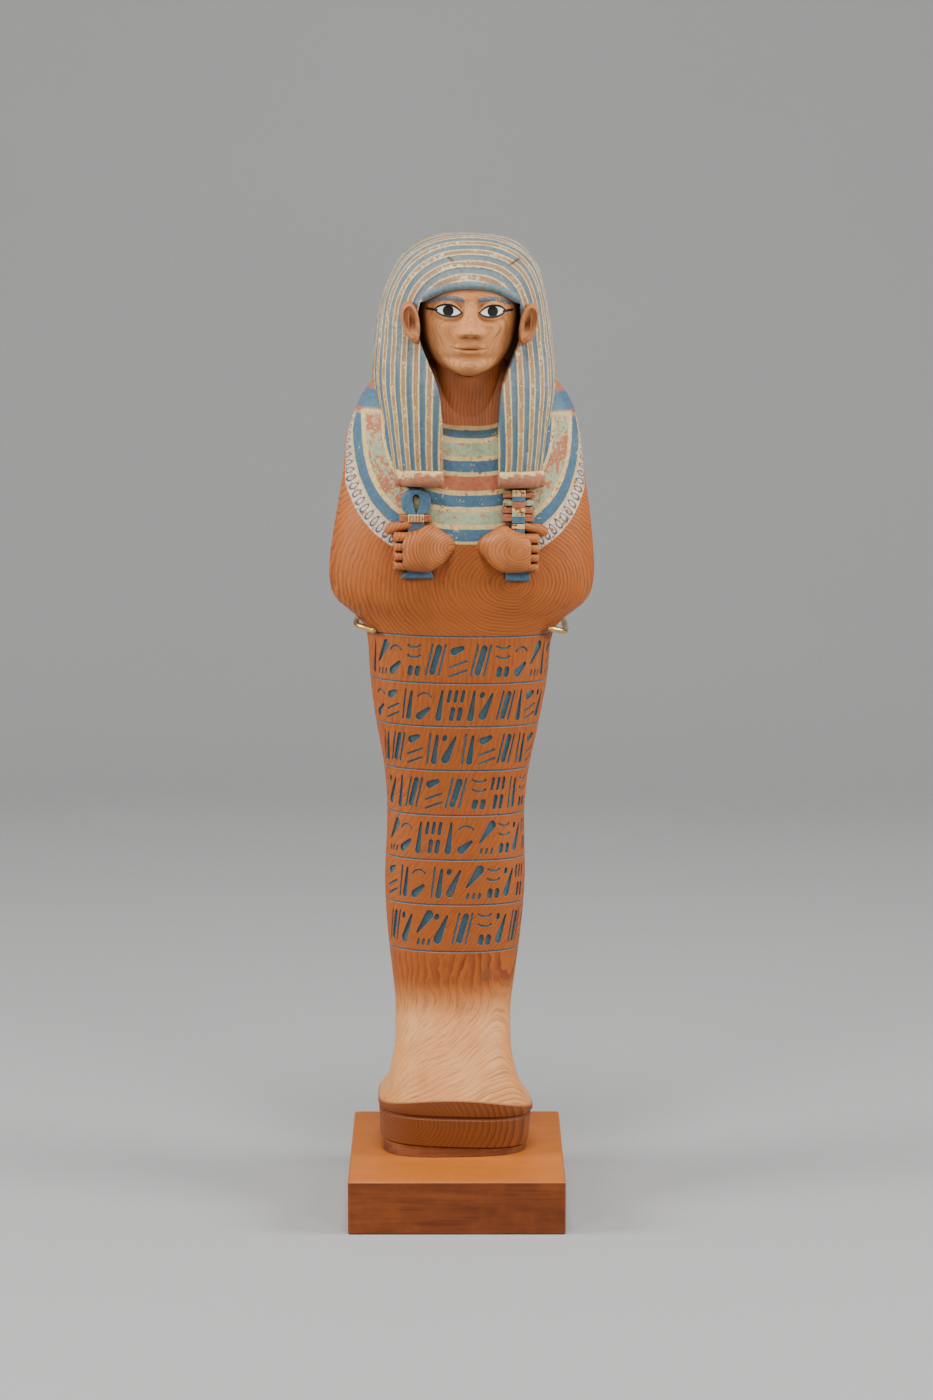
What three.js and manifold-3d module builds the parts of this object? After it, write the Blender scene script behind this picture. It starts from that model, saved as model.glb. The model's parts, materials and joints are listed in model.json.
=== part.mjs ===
// Painted cedar shabti on its display stand. Millimetres, +Z up, the figure faces -Y.
// The origin is the middle of the stand block's underside, where the whole group rests.
// The figure is drawn upright in its own frame (x to the viewer's right, y to the back, t up from the
// sole) and then turned, leaned and set on the levelling shim.
import * as THREE from 'three';
import { mergeVertices } from 'three/addons/utils/BufferGeometryUtils.js';
import Module from 'manifold-3d';

const wasm = await Module();
wasm.setup();

// ---------------------------------------------------------------- driving sizes
const BLOCK = { width: 63.5, depth: 82, height: 16, bevel: 0.5 };
const FIT = 0.25;                  // gap left between neighbouring pieces
const FIGURE_HEIGHT = 270.3;       // sole to crown
const AXIS = { x: -1.85, y: 15, z: 18.6 };   // where the figure's axis meets its sole
const LEAN = THREE.MathUtils.degToRad(1.1);  // crown leans to the viewer's right
const TURN = THREE.MathUtils.degToRad(3.5);  // the front turns to the viewer's right
const SOLE_SKEW = Math.tan(THREE.MathUtils.degToRad(1.7));  // sole cut out of square with the axis
const TOE_EDGE = 14.6;             // height of the crisp edge between toe face and instep
const TOE_DIP = 2.6;               // how much lower that edge runs at its two corners
const SOLE = 0.4;
const GROOVE = { height: 9.6, width: 0.9, depth: 0.7 };
const CHIN = 229.6, BROW_EDGE = 255.2;
const LAPPET_END = 197.2, BACK_HEM = 204;
const POST = { x: 1.4, y: 37.2, radius: 1.9, socket: 10 };
const PRONG = { radius: 0.85, level: 152.6 };
const SEGMENTS = 32;

// Carving stations: t, half-width, y of the widest line, front y, back y, squareness of the section,
// sideways drift from the axis, narrowing towards the back.
const FOOT = [
  [SOLE, 22.8, -11, -29.6, 16.0, 3.1, 0.1, 0.08],
  [TOE_EDGE, 24.0, -11, -30.2, 16.6, 3.2, 0.3, 0.1],
];
const BODY = [
  [TOE_EDGE, 24.0, -11, -30.2, 16.6, 3.2, 0.3, 0.1],   // toe edge
  [17, 21.4, -9, -28.1, 16.6, 3.1, 0.3, 0.1],
  [20.5, 19.6, -6, -25.4, 16.3, 2.9, 0, 0.08],         // instep
  [26, 17.9, -3, -21.4, 15.6, 2.6, 0, 0.04],
  [32, 17.4, -1, -17.2, 15.0, 2.4, 0, 0],
  [38.5, 17.5, 0, -13.9, 14.7, 2.3, 0, 0],             // ankle
  [46, 18.3, 0, -12.6, 15.2, 2.2, 0, 0],
  [60, 20.0, 0, -12.4, 16.6, 2.2, -0.1, 0],
  [76, 21.1, 0, -12.6, 17.4, 2.2, -0.15, 0],           // calf
  [90, 20.75, 0, -12.9, 16.6, 2.2, -0.2, 0],
  [100, 20.7, 0, -13.2, 16.0, 2.2, -0.3, 0],           // knee
  [111, 21.8, 0, -13.9, 16.2, 2.2, -0.3, 0],
  [125, 24.5, 0, -15.2, 17.3, 2.2, -0.3, 0],           // thigh
  [138, 26.5, 0, -16.3, 18.4, 2.2, -0.2, 0],
  [149.5, 27.5, 0, -17.0, 19.0, 2.2, -0.2, 0],         // hip
  [154, 29.1, 0, -17.6, 19.2, 2.2, -0.2, 0],
  [157.3, 32.5, 0, -18.1, 19.4, 2.2, -0.15, 0],
  [160.9, 36.9, 0, -18.8, 19.8, 2.25, -0.1, 0],        // under the elbow
  [165, 39.1, 0, -19.3, 20.0, 2.3, 0, 0],
  [171.7, 39.7, 0, -19.9, 20.3, 2.3, 0.1, 0],          // elbow
  [180, 38.9, 0, -20.0, 20.6, 2.3, 0.25, 0],
  [190, 37.4, 0, -19.8, 20.9, 2.3, 0.4, 0],            // chest
  [200, 35.8, 0, -19.4, 21.2, 2.3, 0.2, 0],
  [208, 35.1, 0, -18.7, 21.3, 2.3, 0, 0],
  [214, 33.9, 0, -17.2, 21.0, 2.3, 0.1, 0],
  [220, 32.2, 0, -15.2, 20.2, 2.3, 0.8, 0],            // shoulder
  [225, 29.8, 0, -13.4, 18.5, 2.2, 1.2, 0],
  [229, 25.5, 0, -12.0, 16.0, 2.1, 1.0, 0],
  [232.5, 19.5, 0, -11.0, 13.5, 2.0, 0.5, 0],
  [236, 13.0, 0, -10.5, 11.0, 2.0, 0, 0],              // inside the wig
];
const WIG = [
  [LAPPET_END, 22.2, 0, -22.4, 22.6, 5.0, 0.3, 0],
  [205, 23.4, 0, -22.7, 23.3, 4.6, 0.2, 0],
  [215, 25.1, 0, -22.2, 23.6, 3.8, 0, 0],
  [225, 26.9, 0, -20.8, 23.3, 3.0, -0.2, 0],
  [232, 27.0, 0, -19.6, 23.2, 2.6, -0.3, 0],
  [240, 26.1, 0, -19.2, 23.2, 2.4, -0.55, 0],
  [247, 25.1, 0, -20.2, 23.0, 2.3, -0.7, 0],
  [252, 24.1, 0, -20.9, 22.4, 2.25, -0.65, 0],
  [256.5, 22.7, 0, -20.4, 21.0, 2.2, -0.4, 0],
  [260, 21.2, 0, -18.9, 19.2, 2.15, -0.1, 0],
  [263.5, 19.1, 0, -16.6, 16.6, 2.1, 0.05, 0],
  [266.6, 15.8, 0, -13.2, 13.6, 2.05, 0.25, 0],
  [268.6, 12.3, 0, -9.8, 10.4, 2.0, 0.4, 0],
  [269.8, 8.0, 0, -5.8, 6.4, 2.0, 0.6, 0],
  [FIGURE_HEIGHT, 2.4, 0, -1.6, 1.8, 2.0, 0.6, 0],
];
const HEAD = [
  [CHIN, 4.6, -13, -17.4, -9, 2.2, 0, 0],
  [230.7, 7.0, -11, -19.3, -5, 2.3, 0, 0],
  [232.6, 9.6, -9, -20.2, 0, 2.4, 0, 0],               // chin
  [236, 12.4, -7, -20.4, 3, 2.5, 0, 0],
  [240, 14.2, -6, -20.4, 5, 2.5, 0, 0],                // cheek
  [245, 15.3, -5, -20.3, 6, 2.5, 0, 0],
  [250, 15.6, -5, -20.0, 6, 2.5, 0, 0],                // temple
  [255, 15.0, -5, -18.8, 6, 2.5, 0, 0],
  [260, 12.5, -5, -15.5, 5, 2.4, 0, 0],                // inside the wig
];
// Face opening in the wig: height, half-width.
const OPENING = [[186, 8.2], [213, 8.2], [219, 8.6], [225.5, 9.5], [232, 11.9], [236.5, 13.7],
  [240, 14.8], [246, 15.1], [250.2, 14.7]];

// ---------------------------------------------------------------- helpers
// Cubic interpolation through a table whose first column is the height.
function at(table, t) {
  const last = table.length - 1;
  if (t <= table[0][0]) return table[0].slice(1);
  if (t >= table[last][0]) return table[last].slice(1);
  let i = 0;
  while (table[i + 1][0] < t) i++;
  const h = table[i + 1][0] - table[i][0];
  const s = (t - table[i][0]) / h;
  const slope = (k, c) => {
    const a = Math.max(k - 1, 0), b = Math.min(k + 1, last);
    return (table[b][c] - table[a][c]) / (table[b][0] - table[a][0]);
  };
  return table[i].slice(1).map((v, j) => {
    const c = j + 1, w = table[i + 1][c];
    return v * (1 + 2 * s) * (1 - s) ** 2 + w * (3 - 2 * s) * s * s
      + h * (slope(i, c) * s * (1 - s) ** 2 - slope(i + 1, c) * s * s * (1 - s));
  });
}
const power = (v, p) => Math.sign(v) * Math.abs(v) ** p;

// Section of a table at height t as a ring of [x, y, t]; backs stay rounder than fronts.
function section(table, t, n = SEGMENTS, grow = 0) {
  const [w, seam, front, back, square, drift = 0, taper = 0] = at(table, t);
  return Array.from({ length: n }, (_, k) => {
    const a = (k / n) * 2 * Math.PI;
    const behind = Math.sin(a) > 0;
    const p = behind ? Math.min(square, 3.6) : square;
    const y = seam + ((behind ? back - seam : seam - front) + grow) * power(Math.sin(a), 2 / p);
    const x = (w + grow) * power(Math.cos(a), 2 / p) * (1 - (taper * (y - front)) / (back - front));
    return [drift + x, y, t];
  });
}
// Front surface of a table at (x, t).
function frontY(table, x, t) {
  const [w, seam, front, , p, drift = 0] = at(table, t);
  const r = Math.min(Math.abs(x - drift) / w, 0.999);
  return seam - (seam - front) * (1 - r ** p) ** (1 / p);
}
// Section of the legs or foot, its rim dipping at the sides near the toe edge.
function footSection(table, t) {
  const near = t < TOE_EDGE ? (t - SOLE) / (TOE_EDGE - SOLE) : Math.max(0, 1 - (t - TOE_EDGE) / 14);
  return section(table, t).map(([x, y, h]) => [x, y, h - TOE_DIP * near * (x / 22) ** 2]);
}
function manifold(points, faces) {
  let volume = 0;
  const v = points.map((p) => new THREE.Vector3(...p));
  for (const [a, b, c] of faces) volume += v[a].dot(v[b].clone().cross(v[c]));
  const turned = volume < 0 ? faces.map(([a, b, c]) => [a, c, b]) : faces;
  return new wasm.Manifold(new wasm.Mesh({
    numProp: 3,
    vertProperties: new Float32Array(points.flat()),
    triVerts: new Uint32Array(turned.flat()),
  }));
}
const mean = (ring) => [0, 1, 2].map((c) => ring.reduce((s, p) => s + p[c], 0) / ring.length);

// Closed skin over a run of equal rings, with a fan on each end.
function skin(rings, caps = []) {
  const n = rings[0].length;
  const points = rings.flat();
  const faces = [];
  for (let i = 0; i + 1 < rings.length; i++) {
    for (let k = 0; k < n; k++) {
      const a = i * n + k, b = i * n + ((k + 1) % n);
      faces.push([a, b, b + n], [a, b + n, a + n]);
    }
  }
  const low = points.push(caps[0] ?? mean(rings[0])) - 1;
  const high = points.push(caps[1] ?? mean(rings.at(-1))) - 1;
  const top = (rings.length - 1) * n;
  for (let k = 0; k < n; k++) {
    const m = (k + 1) % n;
    faces.push([low, m, k], [high, top + k, top + m]);
  }
  return manifold(points, faces);
}
const heights = (from, to, count) => Array.from({ length: count + 1 }, (_, i) => from + (to - from) * i / count);

// Ellipse-like ring in the y-t plane at x.
function hoop(x, y, t, ry, rt, n = 14, p = 2) {
  return Array.from({ length: n }, (_, k) => {
    const a = (k / n) * 2 * Math.PI;
    return [x, y + ry * power(Math.cos(a), 2 / p), t + rt * power(Math.sin(a), 2 / p)];
  });
}
// Plate outlined in the x-t plane and pushed from y0 to y1.
function plate(outline, y0, y1) {
  return skin([outline.map(([x, t]) => [x, y0, t]), outline.map(([x, t]) => [x, y1, t])]);
}
const bar = (x, t, half, rise, y0, y1) =>
  plate([[x - half, t - rise], [x + half, t - rise], [x + half, t + rise], [x - half, t + rise]], y0, y1);

// Tube along a run of points, its ends rounded over.
function tube(path, radius, sides = 8) {
  const curve = new THREE.CatmullRomCurve3(path.map((p) => new THREE.Vector3(...p)), false, 'centripetal');
  const steps = path.length * 3;
  const frames = curve.computeFrenetFrames(steps, false);
  const ring = (u, r, push) => {
    const i = Math.round(u * steps);
    const c = curve.getPointAt(u).addScaledVector(frames.tangents[i], push);
    return Array.from({ length: sides }, (_, k) => {
      const a = (k / sides) * 2 * Math.PI;
      return c.clone().addScaledVector(frames.normals[i], r * Math.cos(a))
        .addScaledVector(frames.binormals[i], r * Math.sin(a)).toArray();
    });
  };
  const rings = heights(0, 1, steps).map((u) => ring(u, radius, 0));
  return skin([ring(0, radius * 0.5, -radius * 0.8), ...rings, ring(1, radius * 0.5, radius * 0.8)]);
}
function union(list) {
  return list.reduce((a, b) => a.add(b));
}
function mesh(name, solid, color, roughness, metalness, place) {
  const out = solid.getMesh();
  const position = new Float32Array(out.numVert * 3);
  for (let i = 0; i < out.numVert; i++) {
    const p = [0, 1, 2].map((c) => out.vertProperties[i * out.numProp + c]);
    position.set(place ? place(p) : p, i * 3);
  }
  let geometry = new THREE.BufferGeometry();
  geometry.setAttribute('position', new THREE.BufferAttribute(position, 3));
  geometry.setIndex(new THREE.BufferAttribute(new Uint32Array(out.triVerts), 1));
  geometry = mergeVertices(geometry, 1e-4);
  geometry.computeVertexNormals();
  const item = new THREE.Mesh(geometry, new THREE.MeshStandardMaterial({ color, roughness, metalness }));
  item.name = name;
  return item;
}
// Figure frame to the stand's frame.
function stand([x, y, t]) {
  const fade = THREE.MathUtils.clamp(1 - t / 34, 0, 1);
  const h = t - x * SOLE_SKEW * fade;
  const xt = x * Math.cos(TURN) - y * Math.sin(TURN);
  const yt = x * Math.sin(TURN) + y * Math.cos(TURN);
  return [AXIS.x + xt * Math.cos(LEAN) + h * Math.sin(LEAN), AXIS.y + yt,
    AXIS.z + h * Math.cos(LEAN) - xt * Math.sin(LEAN)];
}

// ---------------------------------------------------------------- figure
const body = skin([
  ...FOOT.map(([t]) => footSection(FOOT, t)),
  ...[15.4, 16.6, 18.2, 20, 23, 26, 29.5, 33, 37, 42, 50, 60, 70, 80, 90, 99, 107, 116, 126, 137, 146, 151.5, 154,
    155.7, 157.3, 159, 160.9, 163, 167, 173, 181, 190, 200, 207, 212, 217, 221, 224.5, 227.5, 230, 232.5,
    236].map((t) => footSection(BODY, t)),
]);

const wigShell = skin([LAPPET_END, 205, 212, 219, 226, 232, 237, 242, 247, 251, 254, 256.5, 258.5, 260.5, 262.5,
  264.5, 266.2, 267.6, 268.6, 269.4, 269.95, FIGURE_HEIGHT]
  .map((t) => section(WIG, t)));
const browArc = heights(-1, 1, 14).map((u) => [-u * 14.7, BROW_EDGE - 5 * Math.abs(u) ** 2.4]);
const middle = (t) => 0.02 * (244 - t);    // the gap between the lappets drifts sideways going down
const openingEdge = [
  ...OPENING.slice(0, -1).map(([t, x]) => [middle(t) + x, t]),
  ...browArc,
  ...OPENING.slice(0, -1).reverse().map(([t, x]) => [middle(t) - x, t]),
];
const opening = skin([openingEdge.map(([x, t]) => [x, -40, t]), openingEdge.map(([x, t]) => [x, -8.5, t])],
  [[0, -40, 230], [0, -8.5, 230]]);
const underHem = plate([[-40, 180], [40, 180], [40, BACK_HEM], [-40, BACK_HEM]], 0, 40);
const wig = wigShell.subtract(opening).subtract(underHem);

// Rolled rim of the wig over the brow.
const rim = skin(heights(-1, 1, 18).map((u) => {
  const x = u * 15.1, t = BROW_EDGE + 0.3 - 5 * Math.abs(u) ** 2.4;
  const tilt = Math.atan2(-12 * Math.sign(u) * Math.abs(u) ** 1.4, 15.1);
  const y = frontY(WIG, x, t) + 0.9;
  return Array.from({ length: 8 }, (_, k) => {
    const a = (k / 8 + 0.03) * 2 * Math.PI;
    const up = 1.25 * Math.sin(a);
    return [x - up * Math.sin(tilt), y + 1.35 * Math.cos(a), t + up * Math.cos(tilt)];
  });
}));

const head = skin([CHIN, 230.1, 230.7, 231.6, 232.8, 235, 237.5, 240, 243, 246, 249, 252, 255, 257.5,
  260].map((t) => section(HEAD, t, 28)));
const neck = skin([206, 212, 218, 224, 230, 236].map((t) => {
  const lift = (t - 206) / 30;
  return section([[0, 11.5 - lift, -5, -17.2 + 2.6 * lift, 4, 2.4], [400, 11, -5, -15, 4, 2.4]], 0, 24)
    .map(([x, y]) => [x, y, t]);
}));
// Nose: bridge, wedge-shaped back and rounded tip; lips and chin as soft pads.
const nose = skin([[249.6, 0.9, -20.3], [247, 1.1, -21.1], [244, 1.5, -22.5], [242, 2.2, -23.7],
  [241.1, 2.7, -23.9], [240.4, 2.3, -23.0]].map(([t, half, tip]) => [
  [half + 0.9, -16, t], [half, (tip - 19.4) / 2, t], [half * 0.45, tip + 0.2, t], [-half * 0.45, tip + 0.2, t],
  [-half, (tip - 19.4) / 2, t], [-half - 0.9, -16, t]]));
const pad = (x, y, t, rx, ry, rt) => skin(heights(-0.92, 0.92, 6).map((u) =>
  hoop(x + u * rx, y, t, ry * Math.sqrt(1 - u * u), rt * Math.sqrt(1 - u * u), 10)));
const lips = [pad(0, -20.1, 237.5, 3.6, 1.2, 0.8), pad(0, -20.0, 236.1, 3.0, 1.2, 0.85)];
const chinPad = pad(0, -18.8, 232.8, 4.2, 2.1, 1.9);
const ears = [-1, 1].map((s) => skin([[-5.8, 0.8], [-5, 1.7], [-3, 2.1], [0, 2.5], [3, 2.8], [4.8, 2.3], [5.9, 1.1]]
  .map(([d, r]) => Array.from({ length: 10 }, (_, k) => {
    const a = (k / 10) * 2 * Math.PI;
    return [s * (17 + 0.14 * d + r * Math.cos(a)), -16.1 + 0.25 * r * Math.cos(a) + 0.96 * r * Math.sin(a),
      244.4 + d];
  }))));

// Rolled ends of the two lappets.
const rolls = [-1, 1].map((s) => skin([[8.0, 0.7], [8.5, 0.95], [11, 1], [14, 1], [17, 1], [19.6, 1], [21.0, 0.95],
  [21.8, 0.6]]
  .map(([x, r]) => hoop(middle(199) + s * x, frontY(WIG, Math.min(x, 20.4), 199.4) + 0.9, 199.2,
    2.1 * r, 2.35 * r, 10, 2.3))));

// Fists: each grows out of the chest near the middle and ends in curled fingers and a thumb.
const FIST = [[2.6, 179.6, 0.8, -0.5], [4.5, 179.4, 2.6, 1.6], [7, 178.9, 4.8, 4.2], [9.4, 178.9, 6.4, 5.9],
  [11.4, 178.8, 6.9, 6.9], [14, 178.1, 6.2, 7.0], [17, 177.8, 5.7, 6.9], [18.7, 177.7, 5.5, 6.3]];
const fists = [-1, 1].map((s) => skin(FIST.map(([x, t, rise, proud]) => {
  const y = frontY(BODY, x, t);
  return hoop(s * x, y + (4 - proud) / 2, t, (4 + proud) / 2, rise, 14, 3.2);
})));
const fingers = [-1, 1].map((s) => skin([[17, 4.6, 4.8], [19.6, 4.6, 4.8], [20.9, 4.2, 4.3], [21.5, 3.3, 3.4]]
  .map(([x, rise, proud]) => {
    const y = frontY(BODY, 19, 178);
    return hoop(s * x, y + (4 - proud) / 2, 178, (4 + proud) / 2, rise, 14, 3);
  })));
const thumbs = [-1, 1].map((s) => skin([[16.5, 1.3], [17.6, 1.6], [19.6, 1.55], [21.6, 1.75], [23.2, 1.5], [24, 0.8]]
  .map(([x, r]) => hoop(s * x, frontY(BODY, x, 184.5) - 1.6, 185.6 - 0.25 * (x - 16.5), r, r, 10))));

// Looped cross on one side and banded pillar on the other, held upright in the fists.
const chestY = (x, t) => frontY(BODY, x, t);
const LOOP = { x: -14.9, t: 192.0, half: 4.3, rise: 3.9 };
const loopEdge = heights(0, 1, 20).slice(0, -1).map((u) => {
  const a = u * 2 * Math.PI;
  return [LOOP.x + LOOP.half * power(Math.cos(a), 0.85), LOOP.t + LOOP.rise * power(Math.sin(a), 0.85)];
});
const drop = heights(0, 1, 14).slice(0, -1).map((u) => {
  const a = u * 2 * Math.PI;
  return [LOOP.x + 1.55 * Math.cos(a) * (0.62 + 0.38 * Math.sin(a)), LOOP.t - 0.45 + 2.8 * Math.sin(a)];
});
const ankh = plate(loopEdge, chestY(15, 192) - 2.1, -8).subtract(plate(drop, -40, chestY(15, 192) + 0.3))
  .add(bar(LOOP.x, 187.4, 4.7, 1.05, chestY(15, 187.4) - 2.2, -8))
  .add(bar(LOOP.x, 187.4, 2.3, 1.1, chestY(15, 187.4) - 2.8, -8))
  .add(bar(LOOP.x, 184.6, 2.4, 2.2, chestY(15, 185) - 2.3, -8))
  .add(plate([[-19.0, 169.7], [-9.3, 169.9], [-10.6, 172.9], [-16.6, 172.9]], chestY(14, 171) - 2.0, -8));
const PILLAR = { x: 15.1, half: 4.55, stem: 1.9 };
const djed = union([194.9, 192.6, 190.4, 188.3].map((t, i) =>
  bar(PILLAR.x, t - 0.35, PILLAR.half, i === 3 ? 1.0 : 0.72, chestY(15, t) - 2.5, -8)))
  .add(bar(PILLAR.x, 190.3, PILLAR.half - 0.9, 4.6, chestY(15, 190) - 1.2, -8))
  .add(bar(PILLAR.x, 189.2, PILLAR.stem, 6.4, chestY(15, 189) - 2.9, -8))
  .add(bar(PILLAR.x + 0.2, 170.9, 3.6, 1.5, chestY(15, 171) - 2.0, -8));

// Fine V-groove round the foot that marks it off as a plinth.
const grooveAt = (d, grow) => section(FOOT, GROOVE.height + d * GROOVE.width, 50, grow);
const groove = skin([grooveAt(-0.7, 3), grooveAt(0.7, 3)])
  .subtract(skin([grooveAt(-1, GROOVE.depth), grooveAt(0, -GROOVE.depth), grooveAt(1, GROOVE.depth)]));

const figurine = union([body, wig, rim, head, neck, nose, ...lips, chinPad, ...ears, ...rolls, ...fists,
  ...fingers, ...thumbs, ankh, djed]).subtract(groove);

// ---------------------------------------------------------------- stand
// Levelling shim: a thin wedge under the sole that takes up the sole's skew cut.
const solePlan = section(FOOT, SOLE, 36, -0.4);
const shim = skin([
  solePlan.map((p) => { const [x, y] = stand(p); return [x, y, BLOCK.height + FIT / 2]; }),
  solePlan.map((p) => { const [x, y, z] = stand(p); return [x, y, z - FIT]; }),
]);

const circle = (x, y, z, r, n = 20) => Array.from({ length: n }, (_, k) => {
  const a = (k / n) * 2 * Math.PI;
  return [x + r * Math.cos(a), y + r * Math.sin(a), z];
});
const blockRing = (z, inset) => {
  const w = BLOCK.width / 2 - inset, d = BLOCK.depth / 2 - inset, b = BLOCK.bevel * 0.8;
  return [[w - b, -d], [w, -d + b], [w, d - b], [w - b, d], [-w + b, d], [-w, d - b], [-w, -d + b], [-w + b, -d]]
    .map(([x, y]) => [x, y, z]);
};
const block = skin([blockRing(0, BLOCK.bevel * 0.6), blockRing(BLOCK.bevel, 0),
  blockRing(BLOCK.height - BLOCK.bevel, 0), blockRing(BLOCK.height, BLOCK.bevel)])
  .subtract(skin([circle(POST.x, POST.y, BLOCK.height - POST.socket, POST.radius + FIT),
    circle(POST.x, POST.y, BLOCK.height + 1, POST.radius + FIT)]));

// Brass cradle: a post let into the block, and two bent prongs that hold the figure by the waist.
const prongZ = AXIS.z + PRONG.level;
const crossbar = prongZ + 1.3;
const leftProng = [[POST.x, POST.y, crossbar], [-10, POST.y - 0.2, crossbar], [-20, 35.8, crossbar],
  [-26.6, 32.9, crossbar + 0.1], [-29.6, 27.5, crossbar + 0.3], [-29.9, 18, crossbar + 0.6],
  [-29.9, 9.4, crossbar + 0.7], [-28.4, 5.6, crossbar + 0.4],
  [-23.9, 2.9, prongZ + 0.5]];
const rightProng = [[POST.x, POST.y, crossbar], [12, POST.y, crossbar], [22, 36.2, crossbar - 0.1],
  [29.2, 33.4, crossbar - 0.4], [32.2, 28, crossbar - 0.8], [32.5, 19, crossbar - 1.4], [32.5, 12.4, crossbar - 1.8],
  [31.3, 8.1, crossbar - 1.3], [27.0, 5.1, prongZ + 1.2]];
const cradle = skin([
  circle(POST.x, POST.y, BLOCK.height - POST.socket + FIT, POST.radius, 16),
  circle(POST.x, POST.y, crossbar + 1.2, POST.radius, 16),
  circle(POST.x, POST.y, crossbar + 1.9, POST.radius * 0.6, 16),
]).add(tube(leftProng, PRONG.radius)).add(tube(rightProng, PRONG.radius));

const group = new THREE.Group();
group.name = 'ushabti_on_stand';
group.add(
  mesh('figurine', figurine, 0xc07a45, 0.62, 0, stand),
  mesh('foot_shim', shim, 0x8a4a24, 0.6, 0),
  mesh('stand_block', block, 0xa8602c, 0.5, 0),
  mesh('brass_cradle', cradle, 0xd8b560, 0.28, 1),
);
export default group;
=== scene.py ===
"""Painted cedar shabti on its display stand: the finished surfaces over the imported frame.

The figure is drawn in its own frame in millimetres (x to the viewer's right, y to the back, t up from
the sole) and then turned, leaned and set on the shim, as its solid is. Blender objects are in metres.
"""

import json
import math

import bmesh
import bpy
import numpy as np
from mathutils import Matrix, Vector
from mathutils.geometry import tessellate_polygon

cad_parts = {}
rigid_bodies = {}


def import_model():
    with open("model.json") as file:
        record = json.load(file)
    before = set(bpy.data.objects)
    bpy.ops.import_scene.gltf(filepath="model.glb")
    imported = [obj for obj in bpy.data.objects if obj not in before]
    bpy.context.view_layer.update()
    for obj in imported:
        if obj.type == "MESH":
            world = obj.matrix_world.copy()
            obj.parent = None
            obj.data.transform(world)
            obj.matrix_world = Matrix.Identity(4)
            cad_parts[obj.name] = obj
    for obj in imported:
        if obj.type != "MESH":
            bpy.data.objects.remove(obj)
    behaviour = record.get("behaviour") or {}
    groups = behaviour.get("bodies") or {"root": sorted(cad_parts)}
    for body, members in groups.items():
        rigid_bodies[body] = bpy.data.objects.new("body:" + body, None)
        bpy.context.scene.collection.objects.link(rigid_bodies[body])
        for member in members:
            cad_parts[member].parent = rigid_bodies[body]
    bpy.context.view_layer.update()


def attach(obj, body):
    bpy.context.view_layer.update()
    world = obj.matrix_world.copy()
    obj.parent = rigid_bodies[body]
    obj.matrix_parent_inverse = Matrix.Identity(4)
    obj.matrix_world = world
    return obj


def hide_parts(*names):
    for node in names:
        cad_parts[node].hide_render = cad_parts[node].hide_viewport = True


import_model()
MM = 0.001

# ---------------------------------------------------------------- driving sizes
# As in the solids, but for the crown, 0.15 lower, and the collar and ruled lines, which are drawn only here.
SOLE, TOE_EDGE, TOE_DIP = 0.4, 14.6, 2.6
GROOVE_HEIGHT, GROOVE_DEPTH = 9.6, 0.7
CHIN, BROW_EDGE, COLLAR_TOP = 229.6, 255.2, 217.8
LAPPET_END, BACK_HEM, CROWN = 197.2, 204.0, 270.15
AXIS = (-1.85, 15.0, 18.6)
LEAN, TURN = math.radians(1.1), math.radians(3.5)
SOLE_SKEW = math.tan(math.radians(1.7))
RULED_LINES = (152.1, 138.0, 124.9, 111.5, 97.8, 84.2, 70.5, 56.2)

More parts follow.
